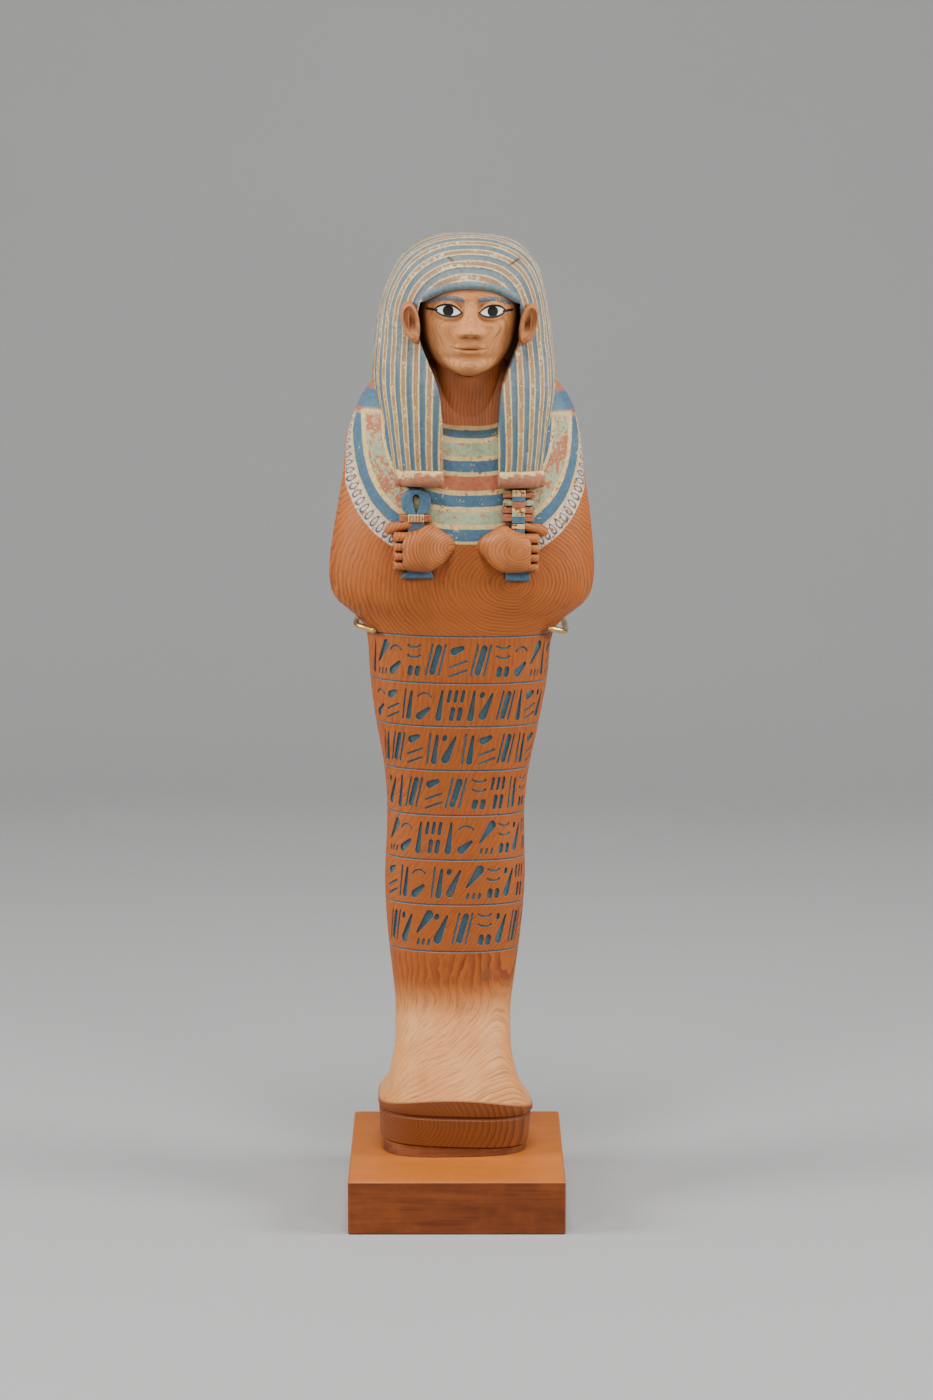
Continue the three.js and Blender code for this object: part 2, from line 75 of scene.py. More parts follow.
# Carving stations: t, half-width, y of the widest line, front y, back y, squareness, sideways drift,
# narrowing towards the back.
FOOT = np.array([
    [SOLE, 22.8, -11, -29.6, 16.0, 3.1, 0.1, 0.08],
    [TOE_EDGE, 24.0, -11, -30.2, 16.6, 3.2, 0.3, 0.1],
])
BODY = np.array([
    [TOE_EDGE, 24.0, -11, -30.2, 16.6, 3.2, 0.3, 0.1],
    [17, 21.4, -9, -28.1, 16.6, 3.1, 0.3, 0.1],
    [20.5, 19.6, -6, -25.4, 16.3, 2.9, 0, 0.08],
    [26, 17.9, -3, -21.4, 15.6, 2.6, 0, 0.04],
    [32, 17.4, -1, -17.2, 15.0, 2.4, 0, 0],
    [38.5, 17.5, 0, -13.9, 14.7, 2.3, 0, 0],
    [46, 18.3, 0, -12.6, 15.2, 2.2, 0, 0],
    [60, 20.0, 0, -12.4, 16.6, 2.2, -0.1, 0],
    [76, 21.1, 0, -12.6, 17.4, 2.2, -0.15, 0],
    [90, 20.75, 0, -12.9, 16.6, 2.2, -0.2, 0],
    [100, 20.7, 0, -13.2, 16.0, 2.2, -0.3, 0],
    [111, 21.8, 0, -13.9, 16.2, 2.2, -0.3, 0],
    [125, 24.5, 0, -15.2, 17.3, 2.2, -0.3, 0],
    [138, 26.5, 0, -16.3, 18.4, 2.2, -0.2, 0],
    [149.5, 27.5, 0, -17.0, 19.0, 2.2, -0.2, 0],
    [154, 29.1, 0, -17.6, 19.2, 2.2, -0.2, 0],
    [157.3, 32.5, 0, -18.1, 19.4, 2.2, -0.15, 0],
    [160.9, 36.9, 0, -18.8, 19.8, 2.25, -0.1, 0],
    [165, 39.0, 0, -19.3, 20.0, 2.3, 0.05, 0],
    [171.7, 39.55, 0, -19.9, 20.3, 2.3, 0.15, 0],
    [180, 38.75, 0, -20.0, 20.6, 2.3, 0.25, 0],
    [190, 37.4, 0, -19.8, 20.9, 2.3, 0.4, 0],
    [200, 35.8, 0, -19.4, 21.2, 2.3, 0.2, 0],
    [208, 35.1, 0, -18.7, 21.3, 2.3, 0, 0],
    [214, 33.9, 0, -17.2, 21.0, 2.3, 0.1, 0],
    [220, 31.8, 0, -15.2, 20.2, 2.3, 0.4, 0],
    [225, 28.9, 0, -13.4, 18.5, 2.2, 0.3, 0],
    [229, 24.9, 0, -12.0, 16.0, 2.1, 0.3, 0],
    [232.5, 19.5, 0, -11.0, 13.5, 2.0, 0.5, 0],
    [236, 13.0, 0, -10.5, 11.0, 2.0, 0, 0],
])
WIG = np.array([
    [LAPPET_END, 22.2, 0, -22.4, 22.6, 5.0, 0.3, 0],
    [205, 23.4, 0, -22.7, 23.3, 4.6, 0.2, 0],
    [215, 25.1, 0, -22.2, 23.6, 3.8, 0, 0],
    [225, 26.9, 0, -20.8, 23.3, 3.0, -0.2, 0],
    [232, 27.0, 0, -19.6, 23.2, 2.6, -0.3, 0],
    [240, 26.1, 0, -19.2, 23.2, 2.4, -0.55, 0],
    [247, 25.1, 0, -20.2, 23.0, 2.3, -0.7, 0],
    [252, 24.1, 0, -20.9, 22.4, 2.25, -0.65, 0],
    [256.5, 22.7, 0, -20.4, 21.0, 2.2, -0.4, 0],
    [260, 21.2, 0, -18.9, 19.2, 2.15, -0.1, 0],
    [263.5, 19.1, 0, -16.6, 16.6, 2.1, 0.05, 0],
    [266.6, 15.8, 0, -13.2, 13.6, 2.05, 0.25, 0],
    [268.6, 12.3, 0, -9.8, 10.4, 2.0, 0.4, 0],
    [269.8, 8.0, 0, -5.8, 6.4, 2.0, 0.6, 0],
    [CROWN, 2.4, 0, -1.6, 1.8, 2.0, 0.6, 0],
])
# Face opening in the wig: height, half-width.
OPENING = ((186, 8.2), (213, 8.2), (219, 8.6), (225.5, 9.5), (232, 11.9), (236.5, 13.7), (240, 14.8),
           (246, 15.1), (250.2, 14.7))


# ---------------------------------------------------------------- shape helpers
def at(table, t):
    """Cubic interpolation through a table whose first column is the height."""
    h = table[:, 0]
    t = np.clip(np.asarray(t, float), h[0], h[-1])
    i = np.clip(np.searchsorted(h, t, side="right") - 1, 0, len(h) - 2)
    n = np.arange(len(h))
    before, after = np.maximum(n - 1, 0), np.minimum(n + 1, len(h) - 1)
    slope = (table[after] - table[before]) / (h[after] - h[before])[:, None]
    step = (h[i + 1] - h[i])[..., None]
    s = (t - h[i])[..., None] / step
    out = (table[i] * (1 + 2 * s) * (1 - s) ** 2 + table[i + 1] * (3 - 2 * s) * s * s
           + step * (slope[i] * s * (1 - s) ** 2 - slope[i + 1] * s * s * (1 - s)))
    return np.moveaxis(out[..., 1:], -1, 0)


def around(count):
    """Even angles round a full turn."""
    return np.linspace(0, 2 * math.pi, count, endpoint=False)


def xyt(x, y, t):
    """Rows of x, y and t from numbers and arrays."""
    return np.stack(np.broadcast_arrays(x, y, t), 1)


def signed_power(v, p):
    return np.sign(v) * np.abs(v) ** p


def bell(v, width):
    return np.exp(-(v / width) ** 2)


def lump(x, t, cx, ct, sx, st, sharp=1.0):
    return np.exp(-(((x - cx) / sx) ** 2 + ((t - ct) / st) ** 2) ** sharp)


def smooth(low, high, v):
    s = np.clip((v - low) / (high - low), 0, 1)
    return s * s * (3 - 2 * s)


def ring(table, t, turn, grow=0.0):
    """x and y of the section at height t in the direction `turn` (0 = +x, pi/2 = back)."""
    w, seam, front, back, square, drift, taper = at(table, t)
    behind = np.sin(turn) > 0
    p = np.where(behind, np.minimum(square, 3.6), square)
    deep = np.where(behind, back - seam, seam - front) + grow
    c, s = np.cos(turn), np.sin(turn)
    r = (np.abs(c / (w + grow)) ** p + np.abs(s / deep) ** p) ** (-1 / p)
    y = seam + r * s
    return drift + r * c * (1 - taper * (y - front) / (back - front)), y


def front_y(table, x, t):
    w, seam, front, _, p, drift, _ = at(table, t)
    r = np.minimum(np.abs(x - drift) / w, 0.999)
    return seam - (seam - front) * (1 - r ** p) ** (1 / p)


def sunk(table, p):
    """How far points lie under the section surface, in mm."""
    w, seam, front, back, square, drift, taper = at(table, p[:, 2])
    y = p[:, 1]
    x = (p[:, 0] - drift) / (1 - taper * (y - front) / (back - front))
    behind = y > seam
    power = np.where(behind, np.minimum(square, 3.6), square)
    deep = np.where(behind, back - seam, seam - front)
    level = (np.abs(x / w) ** power + np.abs((y - seam) / deep) ** power) ** (1 / power)
    return (1 - level) * np.hypot(x, y - seam) / np.maximum(level, 1e-6)


def stand(p):
    """Figure frame to the shared frame, in metres."""
    x, y, t = np.asarray(p, float).T
    h = t - x * SOLE_SKEW * np.clip(1 - t / 34, 0, 1)
    xt = x * math.cos(TURN) - y * math.sin(TURN)
    yt = x * math.sin(TURN) + y * math.cos(TURN)
    return MM * np.stack([AXIS[0] + xt * math.cos(LEAN) + h * math.sin(LEAN), AXIS[1] + yt,
                          AXIS[2] + h * math.cos(LEAN) - xt * math.sin(LEAN)], 1)


class Shape:
    """Points in the figure frame, faces with a paint number each, and named values on the points."""

    def __init__(self):
        self.points, self.faces, self.paint = [], [], []

    def add(self, points, faces, paint=0):
        start = len(self.points)
        self.points.extend(map(tuple, np.asarray(points, float)))
        self.faces.extend(tuple(start + i for i in f) for f in faces)
        self.paint.extend([paint] * len(faces))
        return self

    def loft(self, rings, paint=0, caps=True):
        """Skin over a list of equal rings, with a flat cap on each end."""
        rings = np.array(rings)
        rows, n = rings.shape[:2]
        faces = [(i * n + k, i * n + (k + 1) % n, (i + 1) * n + (k + 1) % n, (i + 1) * n + k)
                 for i in range(rows - 1) for k in range(n)]
        if caps:
            faces += [tuple(range(n))[::-1], tuple((rows - 1) * n + k for k in range(n))]
        return self.add(rings.reshape(-1, 3), faces, paint)

    def plate(self, outline, y0, y1, paint=0, bevel=0.0):
        """Plate outlined in the x-t plane from front y0 to back y1, its front edge eased by bevel."""
        edge = np.asarray(outline, float)
        rings = []
        if bevel:
            rings.append((inset(edge, bevel), y0))
        rings += [(edge, y0 + bevel), (edge, y1)]
        return self.loft([xyt(e[:, 0], y, e[:, 1]) for e, y in rings], paint)


def inset(edge, amount):
    """Outline moved inwards by amount (outwards where negative); corners are mitred."""
    area = 0.5 * np.sum(edge[:, 0] * np.roll(edge[:, 1], -1) - np.roll(edge[:, 0], -1) * edge[:, 1])
    along = np.roll(edge, -1, 0) - edge
    along /= np.maximum(np.linalg.norm(along, axis=1), 1e-9)[:, None]
    left = np.stack([-along[:, 1], along[:, 0]], 1) * np.sign(area)
    mitre = left + np.roll(left, 1, 0)
    mitre /= np.maximum(np.sum(mitre * left, axis=1), 0.35)[:, None]
    return edge + mitre * amount


def to_object(shape, name, materials, edge_angle=38.0, placed=True):
    """Blender object of a shape; outward faces, smooth but for edges sharper than edge_angle."""
    mesh = bpy.data.meshes.new(name)
    mesh.from_pydata(shape.points, [], shape.faces)
    mesh.polygons.foreach_set("material_index", np.array(shape.paint, dtype=np.int32))
    for m in materials:
        mesh.materials.append(m)
    obj = bpy.data.objects.new(name, mesh)
    bpy.context.scene.collection.objects.link(obj)
    recalc(mesh)
    if placed:
        finish_surface(obj, edge_angle)
    return obj


def recalc(mesh):
    work = bmesh.new()
    work.from_mesh(mesh)
    bmesh.ops.recalc_face_normals(work, faces=work.faces)
    work.to_mesh(mesh)
    work.free()


def points_of(mesh):
    flat = np.empty(len(mesh.vertices) * 3)
    mesh.vertices.foreach_get("co", flat)
    return flat.reshape(-1, 3)


def settle(mesh, p, edge_angle):
    """Move the mesh to p and shade it, smooth but for edges sharper than edge_angle."""
    mesh.vertices.foreach_set("co", p.ravel())
    mesh.polygons.foreach_set("use_smooth", np.ones(len(mesh.polygons), dtype=bool))
    mesh.set_sharp_from_angle(angle=math.radians(edge_angle))
    mesh.update()


def finish_surface(obj, edge_angle, values=None):
    """Write the named values, move the mesh from the figure frame to the shared frame, shade it."""
    mesh = obj.data
    p = points_of(mesh)
    values = {"growth": growth(p), "along": 0.4 * p[:, 0] + 0.8 * p[:, 2] - 0.5 * p[:, 1], **(values or {})}
    for name, v in values.items():
        mesh.attributes.new(name, "FLOAT", "POINT").data.foreach_set("value", np.asarray(v, np.float32))
    settle(mesh, stand(p), edge_angle)


def cut(obj, cutter):
    """Cut one figure-frame object out of another; the cutter is used up."""
    mod = obj.modifiers.new("cut", "BOOLEAN")
    mod.object, mod.operation, mod.solver = cutter, "DIFFERENCE", "MANIFOLD"
    graph = bpy.context.evaluated_depsgraph_get()
    result = bpy.data.meshes.new_from_object(obj.evaluated_get(graph))
    old = obj.data
    obj.modifiers.clear()
    obj.data = result
    bpy.data.meshes.remove(old)
    bpy.data.objects.remove(cutter)


def arc(cx, cy, rx, ry, start, end, count):
    a = np.radians(np.linspace(start, end, count))
    return np.stack([cx + rx * np.cos(a), cy + ry * np.sin(a)], 1)


# ---------------------------------------------------------------- node helpers
# Samples for the crease darkening, which is dirt and painted shade.
DIRT_AND_SHADE_SAMPLES = 6


def as_triple(scale):
    return tuple(scale) if isinstance(scale, (tuple, list)) else (scale,) * 3


class Nodes:
    """Short forms for building one material's node tree."""

    def __init__(self, name):
        self.material = bpy.data.materials.new(name)
        self.material.use_nodes = True
        self.tree = self.material.node_tree
        self.shader = self.tree.nodes["Principled BSDF"]
        self.shader.inputs["Specular IOR Level"].default_value = 0.3

    def new(self, kind, inputs=None, **settings):
        node = self.tree.nodes.new(kind)
        for key, value in settings.items():
            setattr(node, key, value)
        for key, value in (inputs or {}).items():
            self.put(node.inputs[key], value)
        return node

    def put(self, socket, value):
        if isinstance(value, bpy.types.NodeSocket):
            self.tree.links.new(value, socket)
        elif isinstance(value, (tuple, list)) and len(value) == 3 and socket.type == "RGBA":
            socket.default_value = (*value, 1.0)
        else:
            socket.default_value = value

    def math(self, op, *args):
        node = self.new("ShaderNodeMath", dict(enumerate(args)), operation=op)
        return node.outputs[0]

    def plus(self, a, b):
        return self.math("ADD", a, b)

    def minus(self, a, b):
        return self.math("SUBTRACT", a, b)

    def times(self, first, *others):
        for factor in others:
            first = self.math("MULTIPLY", first, factor)
        return first

    def step(self, value, low, high, a=0.0, b=1.0):
        """Smooth ramp of value from a at low to b at high."""
        inputs = {0: value, 1: low, 2: high, 3: a, 4: b}
        return self.new("ShaderNodeMapRange", inputs, interpolation_type="SMOOTHSTEP").outputs[0]

    def band(self, value, low, high, soft=0.12):
        """1 where low < value < high."""
        return self.times(self.step(value, low - soft, low + soft),
                          self.step(value, high - soft, high + soft, 1.0, 0.0))

    def mix(self, factor, a, b, blend="MIX"):
        inputs = {0: factor, 6: a, 7: b}
        return self.new("ShaderNodeMix", inputs, data_type="RGBA", blend_type=blend).outputs[2]

    def value(self, name):
        return self.new("ShaderNodeAttribute", attribute_name=name).outputs["Fac"]

    def position(self, scale=1000.0, shift=(0.0, 0.0, 0.0)):
        """Object position, scaled (by 1000 it is in mm) and shifted."""
        where = self.new("ShaderNodeTexCoord").outputs["Object"]
        inputs = {"Vector": where, "Scale": as_triple(scale), "Location": shift}
        return self.new("ShaderNodeMapping", inputs).outputs[0]

    def altitude(self):
        """Height over the floor in mm."""
        return self.split(self.position())[2]

    def upward(self):
        """How far the surface faces up, from -1 to 1."""
        return self.split(self.new("ShaderNodeNewGeometry").outputs["Normal"])[2]

    def noise(self, vector, scale=1.0, detail=2.0, rough=0.55, distortion=0.0):
        return self.new("ShaderNodeTexNoise", {"Vector": vector, "Scale": scale, "Detail": detail,
                                               "Roughness": rough, "Distortion": distortion}).outputs[0]

    def field(self, scale, detail=2.0, rough=0.55, distortion=0.0, shift=(0.0, 0.0, 0.0)):
        """Noise over the position, with scale cells to a metre, one number or one for each axis."""
        return self.noise(self.position(scale, shift), 1.0, detail, rough, distortion)

    def dirt_and_crease_shade(self, color, reach, low, high, most, dark):
        """Darken creases with dirt and painted shade: by most where the openness within reach is under low,
        fading out at high.
        """
        inputs = {"Distance": reach}
        open_share = self.new("ShaderNodeAmbientOcclusion", inputs, samples=DIRT_AND_SHADE_SAMPLES).outputs["AO"]
        return self.mix(self.step(open_share, low, high, most, 0.0), color, dark)

    def split(self, vector):
        return self.new("ShaderNodeSeparateXYZ", {0: vector}).outputs

    def bump(self, height, distance, strength):
        inputs = {"Height": height, "Distance": distance, "Strength": strength}
        return self.new("ShaderNodeBump", inputs).outputs[0]

    def finish(self, color, roughness, normal=None):
        self.put(self.shader.inputs["Base Color"], color)
        self.put(self.shader.inputs["Roughness"], roughness)
        if normal is not None:
            self.put(self.shader.inputs["Normal"], normal)
        return self.material


CHEST = (0.50, 0.155, 0.036)
TORSO = (0.39, 0.102, 0.015)
SHIN = (0.35, 0.084, 0.010)
INSTEP = (0.68, 0.30, 0.095)
TOES = (0.20, 0.052, 0.007)
FACE = (0.62, 0.27, 0.10)
LATE_WOOD_AND_GROOVE_SHADE = (0.13, 0.028, 0.004)
RING_WIDTH = 1.38
BLUE = (0.060, 0.128, 0.190)
GREEN = (0.32, 0.38, 0.23)
RED_BROWN = (0.42, 0.125, 0.055)
CREAM = (0.62, 0.44, 0.19)
PETAL_GROUND, PETAL_OUTLINE = (0.62, 0.47, 0.34), (0.035, 0.075, 0.12)
WIG_CREAM, WIG_CREAM_FADED = (0.62, 0.45, 0.165), (0.60, 0.51, 0.34)
WIG_BLUE, WIG_BLUE_FADED = (0.060, 0.120, 0.165), (0.165, 0.195, 0.195)
WIG_BAND = (0.31, 0.165, 0.075)
ROLL_PINK = (0.36, 0.14, 0.07)
EYE_WHITE, PUPIL, BROW_PAINT = (0.74, 0.70, 0.62), (0.008, 0.006, 0.006), (0.10, 0.14, 0.17)
EYE_PAINT = (0.02, 0.016, 0.018)
# Dark colour for dirt and painted shade in creases.
CREASE_DIRT_AND_SHADE = (0.05, 0.022, 0.01)
# Multiplier for painted shade on the throat and neck under the chin.
THROAT_PAINTED_SHADE = (0.56, 0.48, 0.42)


def below_toe_edge(p):
    return p[:, 2] < TOE_EDGE - foot_dip(p[:, 0], TOE_EDGE) + 0.05


def growth(p, hand=0):
    """Distance through the growth rings, in mm, for points of the figure.

    Each stretch between two carved edges has its own cut through the trunk: concentric rings low on the
    right of the chest, slanting ones down the legs, sweeping ones over the instep and a knot on the toes.
    """
    x, y, t = p.T
    chest = 1.22 * np.hypot(0.92 * (x - 14.6), 1.2 * (t - 168)) + 0.07 * x
    head = 1.7 * np.hypot(x + 3, y - 30) + 0.03 * t
    throat = 1.35 * x + 0.02 * t
    legs = 0.86 * x - 0.42 * t + 0.004 * (t - 100) ** 2
    shin = np.hypot(x + 16, y - 20)
    toes = 7.6 * np.sqrt(np.hypot(x + 17.5, 1.5 * (t - 7)) + 0.4)
    if hand:
        centre = (15.4, 178.9) if hand > 0 else (-4.5, 179.0)
        return 1.35 * np.hypot(x - centre[0], 1.3 * (t - centre[1]))
    in_throat = (np.abs(x) < 14) & (t > 212) & (t < 229) & (y < 0)
    place = [in_throat, t > 226, t > RULED_LINES[0], t > RULED_LINES[-1], ~below_toe_edge(p)]
    return np.select(place, [throat, head, chest, legs, shin], toes)


def cedar(n, base=None):
    """Cedar from the growth value: dark late wood in every ring, fibres that follow it, slow stains.

    Returns the colour, a height for bump and a dull-spot value for roughness.
    """
    slow = n.field((26, 26, 14), 2)
    wave = n.field((110, 110, 70), 3)
    radius = n.plus(n.value("growth"), n.times(slow, 9.0))
    level = n.altitude()
    calm = n.plus(1.0, n.times(n.band(level, 62.0, 240.0, 4.0), 2.2))
    radius = n.plus(radius, n.times(wave, calm))
    phase = n.math("FRACT", n.math("DIVIDE", radius, RING_WIDTH))
    late = n.times(n.math("POWER", phase, 2.2), n.step(phase, 0.92, 1.0, 1.0, 0.0))
    strength = n.step(n.field((45, 45, 30), 2, shift=(3, 1, 2)), 0.3, 0.7, 0.45, 1.0)
    quiet = n.step(n.math("ABSOLUTE", n.minus(level, 50.0)), 9.0, 19.0, 0.22, 1.0)
    legs = n.minus(1.0, n.times(n.band(level, 74.0, 170.0, 0.5), 0.55))
    head = n.step(level, 240.0, 246.0, 1.0, 0.45)
    late = n.times(late, strength, quiet, legs, head)
    streak = n.new("ShaderNodeCombineXYZ", {0: n.times(radius, 3.2),
                                            1: n.times(n.value("along"), 0.22)}).outputs[0]
    fibre = n.noise(streak, 1.0, 3.0, 0.6)
    blotch = n.field((55, 55, 30), 4, 0.6, shift=(7, 2, 5))
    if base is None:
        table = n.new("ShaderNodeValToRGB", {0: n.math("DIVIDE", level, 290.0)})
        stops = ((0.0, INSTEP), (0.185, INSTEP), (0.225, SHIN), (0.575, SHIN),
                 (0.60, TORSO), (0.68, TORSO), (0.76, CHEST), (0.86, CHEST), (0.95, FACE))
        ramp = table.color_ramp
        while len(ramp.elements) < len(stops):
            ramp.elements.new(0.5)
        for element, (place, color) in zip(ramp.elements, stops):
            element.position, element.color = place, (*color, 1.0)
        base = table.outputs[0]
    base = n.mix(n.value("toes"), base, TOES)
    color = n.mix(n.step(blotch, 0.35, 0.75, 0.0, 0.35), base, n.mix(n.value("toes"), SHIN, TOES))
    color = n.mix(n.step(fibre, 0.46, 0.70, 0.0, 0.5), color, LATE_WOOD_AND_GROOVE_SHADE)
    color = n.mix(n.times(late, 0.85), color, (0.27, 0.17, 0.10), "MULTIPLY")
    # Creases darkened by ambient occlusion: dirt and painted shade.
    color = n.dirt_and_crease_shade(color, 0.0035, 0.15, 0.72, 0.85, (0.035, 0.012, 0.005))
    height = n.plus(n.times(fibre, 0.4), n.times(late, 0.8))
    return color, height, blotch


def paint_layer(n, base, mask, color, fade, seed):
    """Lay worn matt paint over base where mask is 1: chalky mottling and small chips."""
    spots = n.noise(n.position(1000, (seed, seed * 2, 0)), 0.9, 4.0, 0.7)
    cloud = n.field(150, 3, 0.6, shift=(seed, 0, seed))
    tone = n.mix(n.step(cloud, 0.3, 0.7, 0.0, 0.5), color, (1.3, 1.3, 1.25), "MULTIPLY")
    tone = n.mix(n.step(spots, 0.35, 0.7, 0.0, 0.6), tone, (0.5, 0.5, 0.5), "MULTIPLY")
    worn = n.step(n.plus(spots, n.times(cloud, 0.6)), 0.98 - fade, 1.03 - fade, 1.0, 0.0)
    return n.mix(n.times(mask, worn), base, tone)


def wood_material(name, base=None):
    n = Nodes(name)
    color, height, blotch = cedar(n, base)
    return n.finish(color, n.step(blotch, 0.2, 0.8, 0.46, 0.66), n.bump(height, 0.00010, 0.35))


def body_material():
    """Cedar with the painted collar, the filled strokes and painted shade in the groove."""
    n = Nodes("cedar_painted_body")
    color, height, blotch = cedar(n)
    h = n.value("collar")
    h = n.plus(h, n.times(n.minus(n.field(320, 2), 0.5), 0.5))
    on = n.value("collar_on")
    patch = n.plus(n.field((260, 260, 500), 4, 0.65), n.value("collar_side"))
    ground = n.times(n.band(h, 3.4, 37.9), on)
    color = paint_layer(n, color, ground, CREAM, 0.06, 3.0)
    for low, high, tone, seed in ((4.6, 6.9, BLUE, 1.0), (8.3, 12.3, GREEN, 2.0), (13.5, 16.8, BLUE, 4.0),
                                  (18.0, 22.2, RED_BROWN, 5.0), (23.6, 27.0, BLUE, 6.0),
                                  (28.5, 32.2, GREEN, 7.0), (33.6, 37.1, BLUE, 8.0)):
        mask = n.times(n.band(h, low, high), on)
        color = paint_layer(n, color, mask, tone, 0.03, seed)
        if tone is GREEN:
            reddish = n.times(mask, n.step(patch, 0.52, 0.62))
            color = paint_layer(n, color, reddish, RED_BROWN, 0.22, seed + 0.5)
    # Petal band: pale ground with small blue drop outlines side by side.
    petals = n.times(n.band(h, 37.9, 43.0, 0.2), n.value("petals"))
    color = paint_layer(n, color, petals, PETAL_GROUND, 0.12, 9.0)
    along = n.minus(n.math("FRACT", n.math("DIVIDE", n.value("collar_arc"), 1.9)), 0.5)
    out = n.math("DIVIDE", n.minus(h, 40.3), 2.2)
    wide = n.times(along, n.plus(3.0, n.times(out, -0.9)))
    oval = n.math("SQRT", n.plus(n.times(wide, wide), n.times(out, out)))
    drop = n.times(n.band(oval, 0.62, 0.98, 0.12), petals)
    color = paint_layer(n, color, drop, PETAL_OUTLINE, 0.0, 11.0)
    # Shoulder corners above the collar's straight top edge.
    color = paint_layer(n, color, n.value("shoulder_line"), CREAM, 0.02, 12.0)
    color = paint_layer(n, color, n.value("shoulder_blue"), BLUE, 0.03, 13.0)
    # Carved strokes and ruled lines: blue filling, thin and pale at the rims.
    deep = n.value("carve")
    color = n.mix(n.times(n.band(deep, 0.03, 0.08, 0.02), 0.45), color, (0.50, 0.34, 0.26))
    tone = n.mix(n.step(deep, 0.34, 0.44), (0.085, 0.145, 0.175), (0.046, 0.098, 0.120))
    color = paint_layer(n, color, n.step(deep, 0.07, 0.18), tone, 0.0, 14.0)
    # Painted shade down in the groove round the foot.
    color = n.mix(n.value("groove"), color, LATE_WOOD_AND_GROOVE_SHADE)
    # Painted shade on the throat under the chin.
    color = n.mix(n.value("throat"), color, THROAT_PAINTED_SHADE, "MULTIPLY")
    color = n.mix(n.value("plug"), color, (0.17, 0.055, 0.014))
    relief = n.plus(n.times(height, n.minus(1.0, ground)), n.times(ground, n.field(900, 3)))
    rough = n.plus(n.step(blotch, 0.2, 0.8, 0.46, 0.64), n.times(ground, 0.2))
    return n.finish(color, rough, n.bump(relief, 0.00010, 0.35))


def wig_material():
    """Striped wig: blue hollows between thin cream ridges, with speckled pinkish bands between those."""
    n = Nodes("painted_wig")
    wood = cedar(n, (0.40, 0.15, 0.06))[0]
    wobble = n.times(n.minus(n.field(250, 2), 0.5), 0.08)
    phase = n.math("FRACT", n.plus(n.value("stripe"), wobble))
    faded = n.plus(n.field(60, 3, 0.6, shift=(4, 4, 4)), n.step(n.altitude(), 225.0, 275.0, 0.0, 0.30))
    cream = n.mix(n.step(faded, 0.45, 0.80), WIG_CREAM, WIG_CREAM_FADED)
    color = paint_layer(n, wood, 1.0, cream, 0.02, 21.0)
    band = n.band(phase, 0.09, 0.42, 0.035)
    color = paint_layer(n, color, n.times(band, 0.95), WIG_BAND, 0.10, 22.0)
    blue = n.band(phase, 0.525, 0.985, 0.03)
    tone = n.mix(n.step(faded, 0.42, 0.85), WIG_BLUE, WIG_BLUE_FADED)
    spots = n.field(1000, 4, 0.7)
    tone = n.mix(n.step(spots, 0.4, 0.75, 0.0, 0.5), tone, (0.05, 0.08, 0.10))
    chips = n.step(spots, 0.30, 0.36)
    color = n.mix(n.times(blue, n.math("MAXIMUM", chips, 0.35)), color, tone)
    speck = n.step(n.field((1300, 1300, 900), 2, shift=(5, 0, 0)), 0.58, 0.68)
    color = n.mix(n.times(speck, 0.5), color, (0.16, 0.075, 0.04))
    # Painted shade: a dark line along one edge of each blue hollow.
    edge = n.math("ABSOLUTE", n.minus(phase, 0.515))
    color = n.mix(n.step(edge, 0.035, 0.0, 0.0, 0.35), color, (0.20, 0.13, 0.07))
    color = n.mix(n.value("bare"), color, n.mix(0.5, wood, (0.22, 0.085, 0.035)))
    color = n.mix(n.value("crack"), color, (0.07, 0.03, 0.015))
    # Creases darkened by ambient occlusion: dirt and painted shade.
    color = n.dirt_and_crease_shade(color, 0.003, 0.15, 0.65, 0.6, (0.08, 0.04, 0.02))
    grain = n.field(900, 4, 0.6)
    return n.finish(color, n.step(faded, 0.2, 0.9, 0.62, 0.82), n.bump(grain, 0.00014, 0.5))


# ---------------------------------------------------------------- body with its carved bands
COLUMNS = 150


def foot_dip(x, t):
    near = np.where(t < TOE_EDGE, (t - SOLE) / (TOE_EDGE - SOLE), np.maximum(0, 1 - (t - TOE_EDGE) / 14))
    return TOE_DIP * near * (x / 22) ** 2


def body_rows():
    """Heights of the body's rows with how far each is pressed in: (t, inset)."""
    rows = [(t, 0.0) for t in np.arange(15.1, 34, 0.7)] + [(t, 0.0) for t in np.arange(34, 236.1, 1.15)]
    half, depth = 0.33, 0.38
    for line in RULED_LINES:
        rows = [r for r in rows if abs(r[0] - line) > half + 0.3]
        rows += [(line - half, 0.0), (line - 0.05, depth), (line + 0.05, depth), (line + half, 0.0)]
    return sorted(rows)


def body_shape():
    turn = around(COLUMNS)
    rings = []
    lip = GROOVE_HEIGHT
    sole_rows = [(SOLE, 0.35), (0.8, 0), (3.5, 0), (6.4, 0), (lip - 0.9, 0), (lip - 0.1, GROOVE_DEPTH),
                 (lip + 0.15, GROOVE_DEPTH), (lip + 0.5, 0)]
    for h, press in sole_rows:
        x, y = ring(FOOT, h, turn, -press)
        rings.append(xyt(x, y, h))
    for share in (0.34, 0.67, 1.0):
        x, y = ring(FOOT, TOE_EDGE, turn)
        top = TOE_EDGE - foot_dip(x, TOE_EDGE)
        rings.append(xyt(x, y, (lip + 0.5) + (top - lip - 0.5) * share))
    for t, press in body_rows():
        x, y = ring(BODY, t, turn, -press)
        rings.append(xyt(x, y, t - foot_dip(x, t)))
    return Shape().loft(rings)


